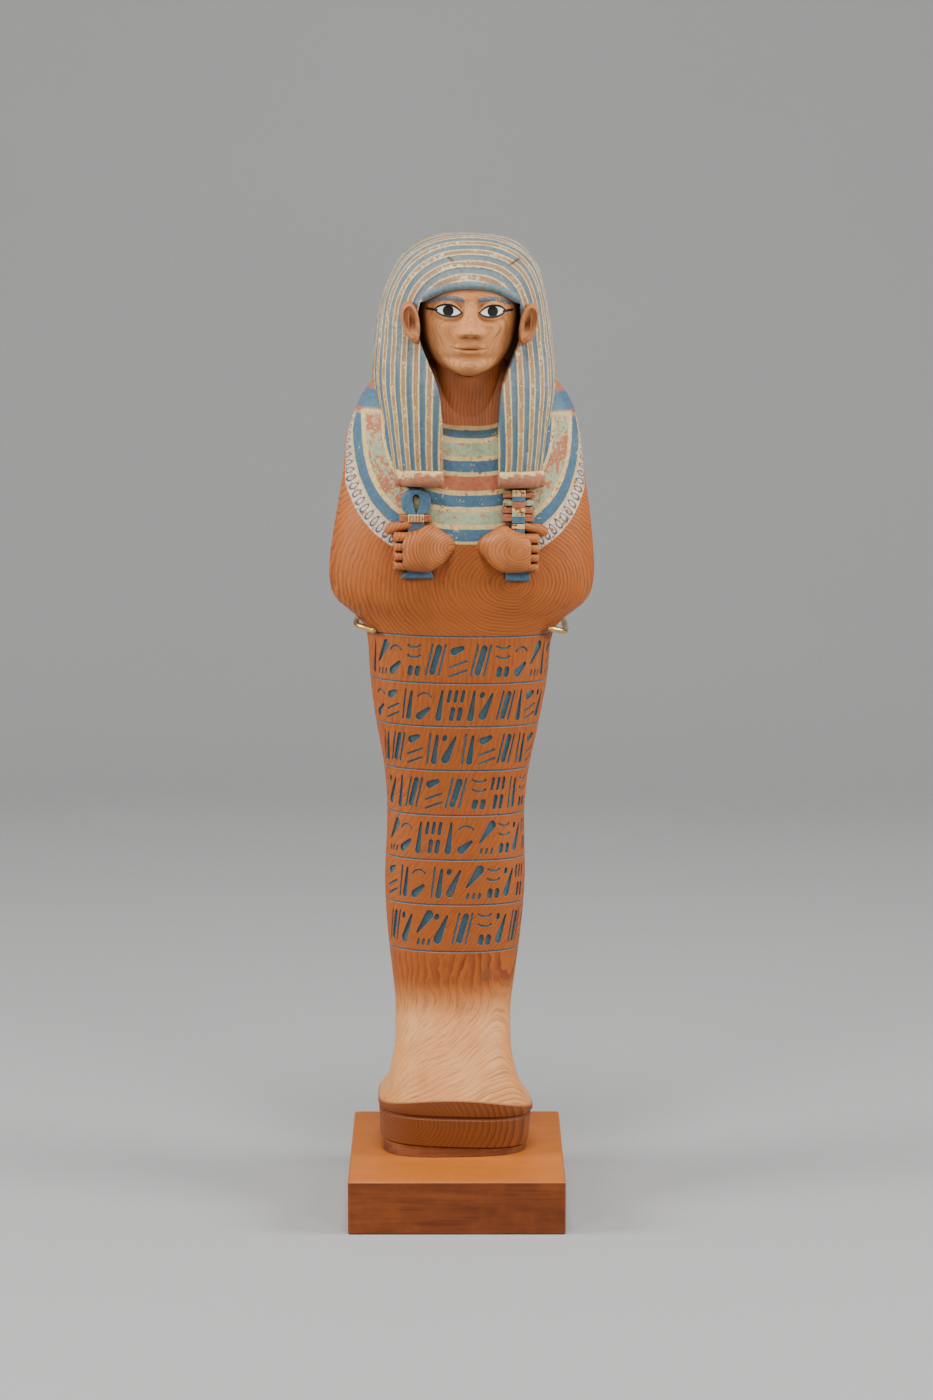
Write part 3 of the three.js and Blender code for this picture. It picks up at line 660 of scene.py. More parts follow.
def on_body(u, t, lift):
    """Point on the body: u mm round from the front line at height t, lifted off the surface by lift."""
    w, seam, front, _, p, drift, _ = at(BODY, t)
    e = np.clip(u / w, -1.5, 1.5)
    x = w * np.sin(e)
    y = -(seam - front) * (1 - np.minimum(np.abs(np.sin(e)), 0.9999) ** p) ** (1 / p)
    nx = np.sign(x) * np.abs(x / w) ** (p - 1) / w
    ny = -np.abs(y / (seam - front)) ** (p - 1) / (seam - front)
    size = np.hypot(nx, ny)
    return xyt(drift + x + lift * nx / size, seam + y + lift * ny / size, t)


# Stroke outlines in mm round their own middle; every stroke is a closed outline.
def bar(u0, v0, u1, v1, w0=0.5, w1=None):
    """Straight stroke with rounded ends that tapers from width w0 to w1."""
    w0, w1 = 1.5 * w0, 1.5 * (w0 if w1 is None else w1)
    heading = math.degrees(math.atan2(v1 - v0, u1 - u0))
    near = arc(u0, v0, w0 / 2, w0 / 2, heading + 100, heading + 260, 5)
    far = arc(u1, v1, w1 / 2, w1 / 2, heading - 80, heading + 80, 5)
    return np.concatenate([near, far])


def curve(points, width):
    """Stroke of even width along a run of points."""
    p = np.asarray(points, float)
    along = np.gradient(p, axis=0)
    along /= np.linalg.norm(along, axis=1)[:, None]
    side = np.stack([-along[:, 1], along[:, 0]], 1) * width * 0.72
    return np.concatenate([p + side, (p - side)[::-1]])


def mark(kind, u):
    """Plain strokes of one mark, centred on u, v from -5 to 5: the bars all lean one way, none touch."""
    if kind == 0:      # one stroke that swells downward
        return [bar(u - 0.5, -4.0, u + 0.5, 4.3, 1.35, 0.45)]
    if kind == 1:      # a thin and a fat stroke side by side
        return [bar(u - 1.6, -4.4, u - 0.6, 4.3, 0.5), bar(u + 0.5, -3.9, u + 1.5, 3.7, 1.3, 0.6)]
    if kind == 2:      # a broad slant over three ticks
        return [bar(u - 2.1, -1.3, u + 1.9, 3.7, 0.5, 1.9)] + \
               [bar(u + k, -4.6, u + k + 0.3, -3.4, 0.6) for k in (-1.9, -0.1, 1.7)]
    if kind == 3:      # a fat slant between two thin ones
        return [bar(u + k - 1.0, -v, u + k + 1.0, v, wide) for k, v, wide in
                ((-2.0, 4.2, 0.5), (0.0, 3.4, 1.3), (2.0, 4.2, 0.5))]
    if kind == 4:      # ticks, three over two
        return [bar(u + k, 1.2, u + k + 0.5, 4.2, 0.7) for k in (-2.4, -0.4, 1.6)] + \
               [bar(u + k - 0.5, -4.2, u + k, -1.2, 0.95) for k in (-0.9, 1.3)]
    if kind == 5:      # a flat arc over a fat slant
        return [curve(arc(u, 0.9, 2.7, 2.6, 30, 150, 12), 0.45), bar(u - 1.5, -3.6, u + 1.5, -1.2, 1.7, 0.8)]
    if kind == 6:      # a broad slant, fat at its foot, with a dot beside its head
        return [bar(u - 1.3, -3.2, u + 1.6, 3.4, 1.8, 0.5), bar(u - 1.7, 2.9, u - 1.5, 3.4, 1.0)]
    if kind == 7:      # a fat short stroke over two long thin ones
        return [bar(u - 1.3, 2.4, u + 1.1, 3.4, 1.6, 1.0), bar(u - 2.5, -2.0, u + 2.5, -0.2, 0.5),
                bar(u - 2.5, -4.6, u + 2.5, -2.8, 0.5)]
    # two flat arcs, one under the other, over a pair of dots
    return [curve(arc(u, 5.2, 2.8, 1.9, 215, 325, 12), 0.5), curve(arc(u, 2.4, 2.8, 1.9, 215, 325, 12), 0.5),
            bar(u - 1.4, -4.0, u - 1.1, -2.6, 1.2), bar(u + 1.1, -4.0, u + 1.4, -2.6, 1.2)]


# Room that each kind of mark takes along its line, in mm.
MARK_ROOM = (3.3, 5.0, 6.0, 6.9, 6.0, 6.4, 5.4, 6.4, 6.8)


def kind_at(row, i):
    """Which mark stands at place i of a band: a plain counting rule, so the bands differ."""
    return (2 * i + 5 * row + (i * i + row * i) // 4) % len(MARK_ROOM)


STROKE_DEPTH, THIN_STROKE_DEPTH, STROKE_SLOPE = 0.55, 0.36, 0.10


def stroke_cutter(outlines, name):
    """Joined prisms of stroke outlines (u, t), sides sloping in to the floor; thin strokes are shallower."""
    shape = Shape()
    for edge in outlines:
        n = len(edge)
        floor, rim = inset(edge, STROKE_SLOPE), inset(edge, -STROKE_SLOPE)
        following = np.roll(edge, -1, 0)
        area = abs(np.sum(edge[:, 0] * following[:, 1] - following[:, 0] * edge[:, 1])) / 2
        breadth = 2 * area / np.sum(np.linalg.norm(following - edge, axis=1))
        depth = STROKE_DEPTH if breadth > 0.8 else THIN_STROKE_DEPTH
        rings = np.array([on_body(floor[:, 0], floor[:, 1], -depth),
                          on_body(rim[:, 0], rim[:, 1], STROKE_DEPTH)])
        flat = [[Vector((u, t, 0)) for u, t in edge]]
        caps = tessellate_polygon(flat)
        sides = [(k, (k + 1) % n, n + (k + 1) % n, n + k) for k in range(n)]
        shape.add(rings.reshape(-1, 3), sides + [tuple(c) for c in caps]
                  + [tuple(n + i for i in reversed(c)) for c in caps])
    return to_object(shape, name, [], placed=False)


def band_strokes():
    """All strokes as (u, t) outlines, dealt into three sets so that no set overlaps itself."""
    sets = [[], [], []]
    for row in range(len(RULED_LINES) - 1):
        centre = (RULED_LINES[row] + RULED_LINES[row + 1]) / 2
        tall = (RULED_LINES[row] - RULED_LINES[row + 1]) / 13.2
        reach = 1.28 * float(at(BODY, centre)[0])
        u, i = -reach, 0
        while u < reach:
            kind = kind_at(row, i)
            u += MARK_ROOM[kind] / 2
            for j, edge in enumerate(mark(kind, u)):
                edge = np.asarray(edge, float)
                sets[(j + i) % 3].append(np.stack([edge[:, 0], centre + edge[:, 1] * tall], 1))
            u += MARK_ROOM[kind] / 2 + 0.15
            i += 1
    return sets


def collar_values(p):
    """Collar band height h, place along the band and masks, for points on the body."""
    x, t = p[:, 0] - 0.3, p[:, 2]
    x = x + np.sign(x) * 0.9 * np.maximum(p[:, 1] + 5, 0)
    down = np.maximum(COLLAR_TOP - t, 0)
    low, high = np.full(len(x), 1e-3), np.full(len(x), 80.0)
    for _ in range(40):     # halving finds the superellipse of the family that runs through each point
        h = (low + high) / 2
        outside = (np.abs(x) / (7.65 + 0.70 * h)) ** 2.7 + (down / h) ** 2.7 > 1
        low, high = np.where(outside, h, low), np.where(outside, high, h)
    h = (low + high) / 2
    side = smooth(0.5, 0.9, np.abs(x) / (7.65 + 0.70 * h))
    h = h + 3.0 * side * smooth(33, 27, h) * smooth(20, 25, h)
    side_on = np.abs(x)
    front = p[:, 1] < 4
    on = smooth(0.3, -0.1, t - COLLAR_TOP + 0.9) * front
    outer = front * smooth(20, 22, side_on)
    return {
        "collar": h, "collar_arc": np.arctan2(down, side_on) * 34 * np.sign(x), "collar_on": on,
        "petals": on * smooth(12, 16, side_on),
        "collar_side": 0.30 * smooth(10, 26, side_on) * smooth(175, 190, t),
        "shoulder_line": outer * smooth(1.0, 0.7, np.abs(t - COLLAR_TOP)) * smooth(34, 33, h),
        "shoulder_blue": outer * smooth(0.8, 1.1, t - COLLAR_TOP) * smooth(7.4, 6.6, t - COLLAR_TOP),
        "carve": np.where((p[:, 1] < 0) & (t > 50) & (t < 154), sunk(BODY, p), 0),
    }


def make_body():
    obj = to_object(body_shape(), "figure_body", [body_material()], placed=False)
    for i, outlines in enumerate(band_strokes()):
        cut(obj, stroke_cutter(outlines, f"strokes_{i}"))
    p = points_of(obj.data)
    values = collar_values(p)
    # Where painted shade darkens the groove round the foot.
    values["groove"] = smooth(1.0, 0.4, np.abs(p[:, 2] - GROOVE_HEIGHT - 0.1)) * (sunk(FOOT, p) > 0.3)
    off = np.maximum(np.abs(p[:, 0] - 9.1), np.abs(p[:, 2] - 48.6))
    values["plug"] = 0.75 * smooth(2.1, 1.3, off) * (p[:, 1] < 0)
    values["toes"] = below_toe_edge(p).astype(float)
    # Where the throat is darkened as painted shade under the chin.
    values["throat"] = smooth(13, 12, np.abs(p[:, 0])) * smooth(210, 213, p[:, 2]) * (p[:, 1] < 0)
    finish_surface(obj, 34, values)
    return obj


# ---------------------------------------------------------------- wig
def middle(t):
    """The gap between the lappets drifts sideways going down."""
    return 0.02 * (244 - t)


def stripe_phase(p):
    """Stripe number of points on the wig: each stripe keeps its angle round the head."""
    x, y, t = p.T
    w, _, _, _, _, drift, _ = at(WIG, np.minimum(t, 240))
    off = np.where(t < 240, drift, at(WIG, t)[5])
    up = np.maximum(t - 240, 0) / (CROWN - 240)
    norm = lambda side: ((side / np.where(t < 240, w, 26.3)) ** 2.35 + up ** 2.35) ** (1 / 2.35)
    outline = at(WIG, t)[0]
    share = np.minimum(np.abs(x - off) / outline, 1)
    level = np.minimum(norm(np.abs(x - off)) + (1 - norm(outline)) * share ** 6, 1.0)
    angle = np.degrees(np.arcsin(level))
    angle = np.where(y > 0, 180 - angle, angle)
    shift = 6.0 * smooth(232, 200, t) + 2.0 * smooth(240, 262, t)
    return (angle - shift - 9.6) / 9.9 + 0.76


def stripe_relief(phase):
    """Ridge height in mm: thin raised cream lines on either side of each blue hollow."""
    f = phase % 1.0
    ridge = sum(bell(f - place, 0.045) for place in (0.50, 0.02, 1.02))
    hollow = smooth(0.53, 0.62, f) * smooth(0.98, 0.90, f)
    return 0.20 * ridge - 0.22 * hollow


def wig_shape():
    front = np.radians(np.linspace(-190, 10, 215, endpoint=False))
    back = np.radians(np.linspace(10, 170, 85, endpoint=False))
    turn = np.concatenate([front, back])
    rows = list(np.arange(LAPPET_END, 240, 1.05)) + list(np.arange(240, 256, 0.5))
    path = np.linspace(256, CROWN, 400)
    width = at(WIG, path)[0]
    along = np.concatenate([[0], np.cumsum(np.hypot(np.diff(path), np.diff(width)))])
    rows += list(np.interp(np.arange(0, along[-1], 0.42), along, path)) + [CROWN]
    rings = []
    for t in rows:
        x, y = ring(WIG, t, turn)
        p = xyt(x, y, t)
        rise = stripe_relief(stripe_phase(p))
        out = np.stack([np.cos(turn), np.sin(turn)], 1) * rise[:, None]
        steep = smooth(CROWN, 262, t)
        p[:, :2] += out * steep
        p[:, 2] += rise * (1 - steep) if t < CROWN - 0.1 else 0
        rings.append(p)
    return Shape().loft(rings)


def brow(u):
    return BROW_EDGE - 5 * np.abs(u) ** 2.4


def make_wig(material):
    obj = to_object(wig_shape(), "figure_wig", [material], placed=False)
    arcs = [(-u * 14.7, brow(u)) for u in np.linspace(-1, 1, 41)]
    fine = np.linspace(OPENING[0][0], OPENING[-1][0], 48)[:-1]
    half = at(np.array(OPENING), fine)[0]
    edge = ([(middle(t) + h, t) for t, h in zip(fine, half)] + arcs
            + [(middle(t) - h, t) for t, h in zip(fine[::-1], half[::-1])])
    cut(obj, to_object(Shape().plate(edge, -40, -8.5), "opening", [], placed=False))
    hem = [(-40, 180), (40, 180), (40, BACK_HEM), (-40, BACK_HEM)]
    cut(obj, to_object(Shape().plate(hem, 0, 40), "hem", [], placed=False))
    p = points_of(obj.data)
    hidden = smooth(0.5, 1.1, sunk(WIG, p)) * (p[:, 2] < CROWN - 4)
    finish_surface(obj, 40, {"stripe": stripe_phase(p), "crack": wig_cracks(p), "bare": hidden})
    return obj


def wig_cracks(p):
    """Two short drying cracks over the brow."""
    value = np.zeros(len(p))
    for x0, t0, x1, t1 in ((-6.6, 263.4, -5.2, 262.3), (14.4, 263.2, 11.6, 261.5)):
        a, b = np.array([x0, t0]), np.array([x1, t1])
        q = p[:, [0, 2]] - a
        s = np.clip(q @ (b - a) / np.dot(b - a, b - a), 0, 1)
        far = np.linalg.norm(q - s[:, None] * (b - a), axis=1)
        value = np.maximum(value, smooth(0.42, 0.1, far) * (p[:, 1] < 0))
    return value


def make_rim(material):
    """Rolled blue edge of the wig over the brow."""
    rings = []
    for u in np.linspace(-1, 1, 61):
        x, t = u * 15.1, brow(u) + 0.3
        tilt = math.atan2(-12 * np.sign(u) * abs(u) ** 1.4, 15.1)
        y = front_y(WIG, x, t) + 0.9
        a = around(20)
        slim = math.sqrt(1 - 0.97 * abs(u) ** 14)
        up = 1.3 * slim * np.sin(a)
        rings.append(xyt(x - up * math.sin(tilt), y + 1.4 * slim * np.cos(a), t + up * math.cos(tilt)))
    return to_object(Shape().loft(rings), "figure_wig_rim", [material])


def make_rolls(material):
    """Rolled ends of the two lappets."""
    shape = Shape()
    for s in (-1, 1):
        rings = []
        for x, r in zip(*roll_profile()):
            a = around(26)
            y0 = front_y(WIG, min(x, 20.4), 199.4) + 0.9
            wave = 1 + 0.03 * math.sin(2.3 * x + s)
            rings.append(xyt(middle(199) + s * x, y0 + 2.1 * r * wave * signed_power(np.cos(a), 0.87),
                                199.2 + 2.5 * r * signed_power(np.sin(a), 0.87)))
        shape.loft(rings)
    return to_object(shape, "figure_lappet_rolls", [material])


def roll_profile():
    x = np.linspace(7.9, 21.9, 36)
    end = np.minimum((x - 7.9) / 0.8, (21.9 - x) / 1.0)
    return x, 0.62 + 0.38 * np.sqrt(1 - (1 - np.clip(end, 0, 1)) ** 2)


# ---------------------------------------------------------------- head
HEAD = np.array([   # t, half-width of the face's outline
    [CHIN - 0.5, 3.0], [230.1, 5.6], [231.4, 8.1], [233.2, 10.2], [236, 12.2], [240, 14.1], [245, 15.3],
    [250, 15.6], [255, 15.2], [258.5, 14.0],
])
PROFILE = np.array([   # t, how far the middle line of the face stands forward
    [CHIN - 0.5, 17.0], [230.1, 18.9], [231.6, 19.9], [233.2, 19.8], [234.4, 19.5], [236, 20.1], [239, 20.2],
    [243, 20.3], [247, 20.1], [249.4, 19.9], [251.6, 20.4], [254, 19.9], [258.5, 17.6],
])
EYE = {"x": 6.5, "t": 247.9, "half": 3.75}


def eye_gap(x, t):
    """Signed distance, about in mm, to the almond of the eye; negative inside."""
    e = (np.abs(x) - EYE["x"]) / EYE["half"]
    c = EYE["t"] + 0.35 * e
    inside = np.maximum(1 - np.abs(e) ** 2.2, 0)
    upper, lower = c + 1.75 * inside ** 0.8, c - 1.35 * inside ** 0.8
    gap = np.maximum(t - upper, lower - t)
    return np.where(np.abs(e) > 1, np.hypot((np.abs(e) - 1) * EYE["half"], t - c), gap)


def face_relief(x, t):
    """Calm, symmetrical face: forward relief in mm over the plain face."""
    a = np.abs(x)
    f = 0.42 * bell(t - 251.4 + 0.03 * (a - 6) ** 2, 1.2) * smooth(0.8, 3, a) * smooth(13.5, 10, a)
    f = f - 1.25 * lump(a, t, 6.4, 248.1, 4.9, 2.9, 1.2)
    ball = 1 - ((a - EYE["x"]) / 4.3) ** 2 - ((t - EYE["t"]) / 3.1) ** 2
    f = f + 1.35 * np.sqrt(np.maximum(ball, 0)) * smooth(0.25, -0.25, eye_gap(x, t) - 1.2)
    gap = eye_gap(x, t)
    f = f + 0.30 * bell(gap - 0.35, 0.36) - 0.16 * smooth(0.15, -0.15, gap)
    # nose: ridge, tip, wings, nostrils
    ridge = np.interp(t, [239.9, 240.5, 241.0, 241.7, 242.6, 245, 247.5, 249.5, 251],
                      [0.0, 1.3, 3.4, 4.1, 4.1, 3.0, 1.9, 1.0, 0.0])
    width = np.interp(t, [240, 241.6, 243.5, 247, 250], [2.2, 2.3, 1.8, 1.5, 1.7])
    f = f + ridge * np.exp(-np.abs(x / width) ** 2.2)
    f = f + 2.3 * lump(a, t, 2.5, 241.5, 1.1, 1.05) - 1.5 * lump(a, t, 1.3, 240.6, 0.7, 0.45)
    f = f - 0.18 * lump(x, t, 0, 239.3, 0.6, 0.9)
    # mouth
    upper, lower, part = 237.75 - 0.02 * x * x, 236.0 + 0.02 * x * x, 236.9 + 0.012 * x * x
    taper_up = np.maximum(1 - (x / 4.8) ** 2, 0) ** 0.7
    taper_low = np.maximum(1 - (x / 4.0) ** 2, 0) ** 0.7
    f = f + 0.75 * bell(t - upper, 0.62) * taper_up + 0.85 * bell(t - lower, 0.72) * taper_low
    f = f - 0.60 * bell(t - part, 0.20) * smooth(4.9, 4.0, a) - 0.25 * lump(a, t, 4.7, 237.2, 0.6, 0.5)
    f = f - 0.35 * lump(x, t, 0, 234.2, 4.0, 0.9) + 0.65 * lump(x, t, 0, 231.9, 3.6, 1.7)
    return f + 0.45 * lump(a, t, 8.6, 243.2, 3.8, 3.2)


def make_head(material):
    rows = np.concatenate([np.linspace(CHIN - 0.5, 231, 12), np.linspace(231.25, 252.5, 88),
                           np.linspace(252.9, 258.5, 14)])
    u = np.sin(np.linspace(-math.pi / 2, math.pi / 2, 121) * 0.985)
    rings = []
    for t in rows:
        half, fore = float(at(HEAD, t)[0]), float(at(PROFILE, t)[0])
        x = half * u
        y = -(5 + (fore - 5) * (1 - np.abs(u) ** 2.45) ** (1 / 2.45)) - face_relief(x, t)
        rings.append(np.concatenate([xyt(x, y, t), [[half * 0.98, 2, t], [-half * 0.98, 2, t]]]))
    obj = to_object(Shape().loft(rings), "figure_face", [material], placed=False)
    p = points_of(obj.data)
    x, y, t = p.T
    gap = eye_gap(x, t)
    a = np.abs(x)
    brow_line = 251.7 - 0.045 * (a - 6.2) ** 2
    brow_gap = np.abs(t - brow_line) / np.interp(a, [2.2, 5, 11.5], [0.75, 0.8, 0.5])
    line = np.hypot(np.maximum(np.maximum(9.8 - a, a - 12.4), 0), t - 248.15 - 0.12 * (a - 10)) / 0.40
    finish_surface(obj, 60, {
        "eye": gap, "iris": np.hypot(a - EYE["x"], (t - EYE["t"] - 0.15) * 1.02),
        "brow": np.where((a > 2.0) & (a < 12.2) & (y < -8), brow_gap, 5),
        "eye_line": np.where(y < -8, line, 5),
    })
    return obj


def make_neck(material):
    rings = []
    turn = around(64)
    for t in np.linspace(206, 236, 24):
        lift = (t - 206) / 30
        table = np.array([[end, 11.5 - lift, -5, -17.2 + 2.6 * lift, 4, 2.4, 0, 0] for end in (0, 1)])
        x, y = ring(table, 0, turn)
        rings.append(xyt(x + middle(t) * 0.5, y, t))
    obj = to_object(Shape().loft(rings), "figure_neck", [material], placed=False)
    x, _, t = points_of(obj.data).T
    finish_surface(obj, 38, {"growth": 1.35 * x + 0.02 * t})
    return obj


def make_ears(material):
    """Ear: bowl ringed by a rolled rim, with an inner fold, a flap and a soft lobe."""
    shape = Shape()
    for s in (-1, 1):
        rows = []
        for rho in np.concatenate([np.linspace(0.02, 1, 34), [1.04, 1.02]]):
            phi = around(72)
            wide = np.where(np.cos(phi) > 0, 2.75, 2.3) * (1 + 0.10 * np.sin(phi))
            px = rho * wide * np.cos(phi) + 0.25 * rho * np.sin(phi)
            pt = rho * 5.9 * np.sin(phi) * (1 - 0.06 * np.cos(phi))
            helix = bell(rho - 0.84, 0.13) * smooth(-0.95, -0.2, np.sin(phi) + 0.7 * np.cos(phi))
            bowl_in = lump(px, pt, -0.35, -0.1, 1.1, 2.3)
            fold = lump(px + 0.10 * pt, pt, 0.75, 0.6, 0.45, 2.6)
            flap = lump(px, pt, -1.75, -0.9, 0.7, 1.2)
            lobe = lump(px, pt, 0.1, -4.2, 1.3, 1.5)
            high = 0.9 + 1.15 * helix - 1.5 * bowl_in + 0.75 * fold + 0.7 * flap + 0.5 * lobe
            high = high * smooth(1.05, 0.9, rho) if rho <= 1 else {1.04: -0.3, 1.02: -5.0}[rho]
            rows.append(xyt(s * (17.05 + px + 0.14 * pt), -17.6 - high + 0.35 * px, 244.4 + pt))
        shape.loft(rows)
    return to_object(shape, "figure_ears", [material], 50)


# ---------------------------------------------------------------- hands and emblems
FIST = np.array([   # distance from the middle, height, half-height, how far it stands out
    [2.6, 179.6, 0.8, -0.5], [4.5, 179.4, 2.6, 1.6], [7, 178.9, 4.8, 4.2], [9.4, 178.9, 6.4, 5.9],
    [11.4, 178.8, 6.9, 6.9], [14, 178.1, 6.2, 7.0], [17, 177.8, 5.7, 6.9], [18.9, 177.7, 5.5, 6.3],
])
# Distance from the middle, then share of the full finger, or radius of the thumb.
FINGER = ((17.5, 0.95), (19.4, 1.0), (20.4, 1.0), (20.9, 0.94), (21.2, 0.8), (21.35, 0.45))
THUMB = ((16.2, 0.9), (17.3, 1.5), (18.6, 1.62), (20.0, 1.55), (21.4, 1.72), (22.6, 1.7), (23.5, 1.3),
         (24.0, 0.7))


def hoop(x, y, t, ry, rt, n, p):
    a = around(n)
    return xyt(x, y + ry * signed_power(np.cos(a), 2 / p), t + rt * signed_power(np.sin(a), 2 / p))


def make_hands(material):
    shape = Shape()
    for s in (-1, 1):
        rings = []
        for x in np.concatenate([np.linspace(2.6, 18.5, 40), [18.9]]):
            t, rise, proud = at(FIST, x)
            y = front_y(BODY, x, t)
            ease = 0.93 if x > 18.6 else 1.0
            rings.append(hoop(s * x, y + (4 - proud) / 2, t, (4 + proud) / 2 * ease, rise * ease, 56, 3.2))
        shape.loft(rings)
        chest = front_y(BODY, 19, 178)
        for k in range(4):     # finger ends, curled out of the fist one over another
            t = 182.0 - 2.75 * k
            rings = []
            for x, r in FINGER:
                y = chest - 1.2 - 0.25 * (k in (1, 2))
                rings.append(hoop(s * x, y, t, 5.0 * r, 1.42 * min(1, r + 0.08), 28, 3.6))
            shape.loft(rings)
        rings = []
        for x, r in THUMB:
            y = front_y(BODY, x, 184.5) - 1.6
            rings.append(hoop(s * x, y, 185.6 - 0.25 * (x - 16.5), r, r, 24, 2.2))
        shape.loft(rings)
    obj = to_object(shape, "figure_hands", [material], placed=False)
    p = points_of(obj.data)
    finish_surface(obj, 42, {"growth": np.where(p[:, 0] > 0, growth(p, 1), growth(p, -1))})
    return obj


def make_emblems(materials):
    """Looped cross on one side, banded pillar on the other; 0 wood, 1 blue, 2 red, 3 pale, 4 green."""
    shape = Shape()
    inside = -8.0     # how deep the plates go into the fist and the chest

    def chest(x, t):
        return front_y(BODY, x, t)

    def block(x, t, half, rise, y, paint, bevel=0.0):
        edge = [(x - half, t - rise), (x + half, t - rise), (x + half, t + rise), (x - half, t + rise)]
        shape.plate(edge, y, inside, paint, bevel)

    x0, t0 = -14.9, 192.0
    a = around(48)
    outer = np.stack([x0 + 4.3 * signed_power(np.cos(a), 0.85), t0 + 3.9 * signed_power(np.sin(a), 0.85)], 1)
    inner = np.stack([x0 + 1.55 * np.cos(a) * (0.62 + 0.38 * np.sin(a)), t0 - 0.45 + 2.8 * np.sin(a)], 1)
    back = chest(15, 192)
    y0 = back - 2.1
    mid = (outer + inner) / 2
    loops = [(outer, inside), (outer, y0 + 0.5), (outer + (mid - outer) * 0.2, y0 + 0.12), (mid, y0),
             (inner + (mid - inner) * 0.25, y0 + 0.12), (inner, y0 + 0.5), (inner, back + 0.3)]
    shape.loft([xyt(e[:, 0], y, e[:, 1]) for e, y in loops], 1, caps=False)
    shape.add(xyt(inner[:, 0], back + 0.25, inner[:, 1]), [tuple(range(48))], 0)
    y = chest(15, 187.4)
    block(x0, 187.4, 4.7, 1.05, y - 2.2, 2, 0.2)
    block(x0, 187.45, 2.3, 1.1, y - 2.8, 3, 0.2)
    for k in range(5):
        block(x0 - 1.8 + 0.9 * k, 187.45, 0.16, 1.0, y - 2.95, 2)
    block(x0, 184.6, 2.4, 2.2, y - 2.3, 1, 0.25)
    flare = [(-19.0, 169.7), (-9.3, 169.9), (-10.6, 172.9), (-16.6, 172.9)]
    shape.plate(flare, chest(14, 171) - 2.0, inside, 1, 0.3)
    x1 = 15.1
    for t, rise, paint in ((194.9, 0.72, 2), (192.6, 0.72, 4), (190.4, 0.72, 2), (188.3, 1.0, 2)):
        block(x1, t - 0.35, 4.55, rise, chest(15, t) - 2.5, paint, 0.2)
        block(x1, t + 0.55, 4.2, 0.2, chest(15, t) - 1.9, 3)
    block(x1, 190.3, 3.65, 4.6, chest(15, 190) - 1.2, 2)
    bands = ((195.2, 1.0, 3), (193.5, 0.8, 1), (191.8, 0.9, 2), (190.2, 0.7, 3),
             (188.9, 0.7, 4), (187.2, 0.9, 1), (185.4, 0.8, 3), (183.6, 0.9, 1))
    for t, rise, paint in bands:
        block(x1, t, 1.9, rise, chest(15, 189) - 2.9, paint, 0.18)
    block(x1 + 0.2, 170.9, 3.6, 1.5, chest(15, 171) - 2.0, 1, 0.3)
    return to_object(shape, "figure_emblems", materials, 30)


# ---------------------------------------------------------------- brass cradle
POST = (1.4, 37.2)
PRONG = 0.85
PRONG_PATHS = (
    ((1.4, 37.2, 172.5), (-10, 37.0, 172.5), (-20, 35.8, 172.5), (-26.6, 32.9, 172.6), (-29.6, 27.5, 172.8),
     (-29.9, 18, 173.1), (-29.9, 9.4, 173.2), (-28.4, 5.6, 172.9), (-23.9, 2.9, 171.7)),
    ((1.4, 37.2, 172.5), (12, 37.2, 172.5), (22, 36.2, 172.4), (29.2, 33.4, 172.1), (32.2, 28, 171.7),
     (32.5, 19, 171.1), (32.5, 12.4, 170.7), (31.3, 8.1, 171.2), (27.0, 5.1, 172.4)),
)


def through(points, per):
    """Catmull-Rom run through the points, `per` steps to each span."""
    p = np.asarray(points, float)
    p = np.vstack([2 * p[0] - p[1], p, 2 * p[-1] - p[-2]])
    out = []
    for i in range(1, len(p) - 2):
        for s in np.linspace(0, 1, per, endpoint=False):
            a, b, c, d = p[i - 1:i + 3]
            out.append(0.5 * (2 * b + (c - a) * s + (2 * a - 5 * b + 4 * c - d) * s * s
                              + (3 * b - a - 3 * c + d) * s ** 3))
    return np.array(out + [p[-2]])


def tube(shape, path, radii, sides=20):
    """Round rod along a path, one radius to each point."""
    side = np.array([0, 0, 1.0])
    rings = []
    for i, p in enumerate(path):
        ahead = path[min(i + 1, len(path) - 1)] - path[max(i - 1, 0)]
        ahead /= np.linalg.norm(ahead)
        across = np.cross(ahead, side)
        across /= np.linalg.norm(across)
        up = np.cross(across, ahead)
        a = around(sides)[:, None]
        rings.append(p + radii[i] * (np.cos(a) * across + np.sin(a) * up))
    shape.loft(rings)


def make_cradle(material):
    """Post and prongs, drawn straight in the shared frame, in mm."""
    shape = Shape()
    turn = around(40)
    rings = [xyt(POST[0] + r * np.cos(turn), POST[1] + r * np.sin(turn), z)
             for z, r in ((6.25, 1.9), (60, 1.9), (120, 1.9), (173.7, 1.9), (174.1, 1.7), (174.4, 1.1))]
    shape.loft(rings)
    for corners in PRONG_PATHS:
        path = through(corners, 10)
        radii = np.full(len(path), PRONG)
        radii[-3:] = (PRONG * 0.97, PRONG * 0.8, PRONG * 0.4)
        tube(shape, path, radii)
    obj = to_object(shape, "cradle", [material], placed=False)
    settle(obj.data, points_of(obj.data) * MM, 40)
    return obj


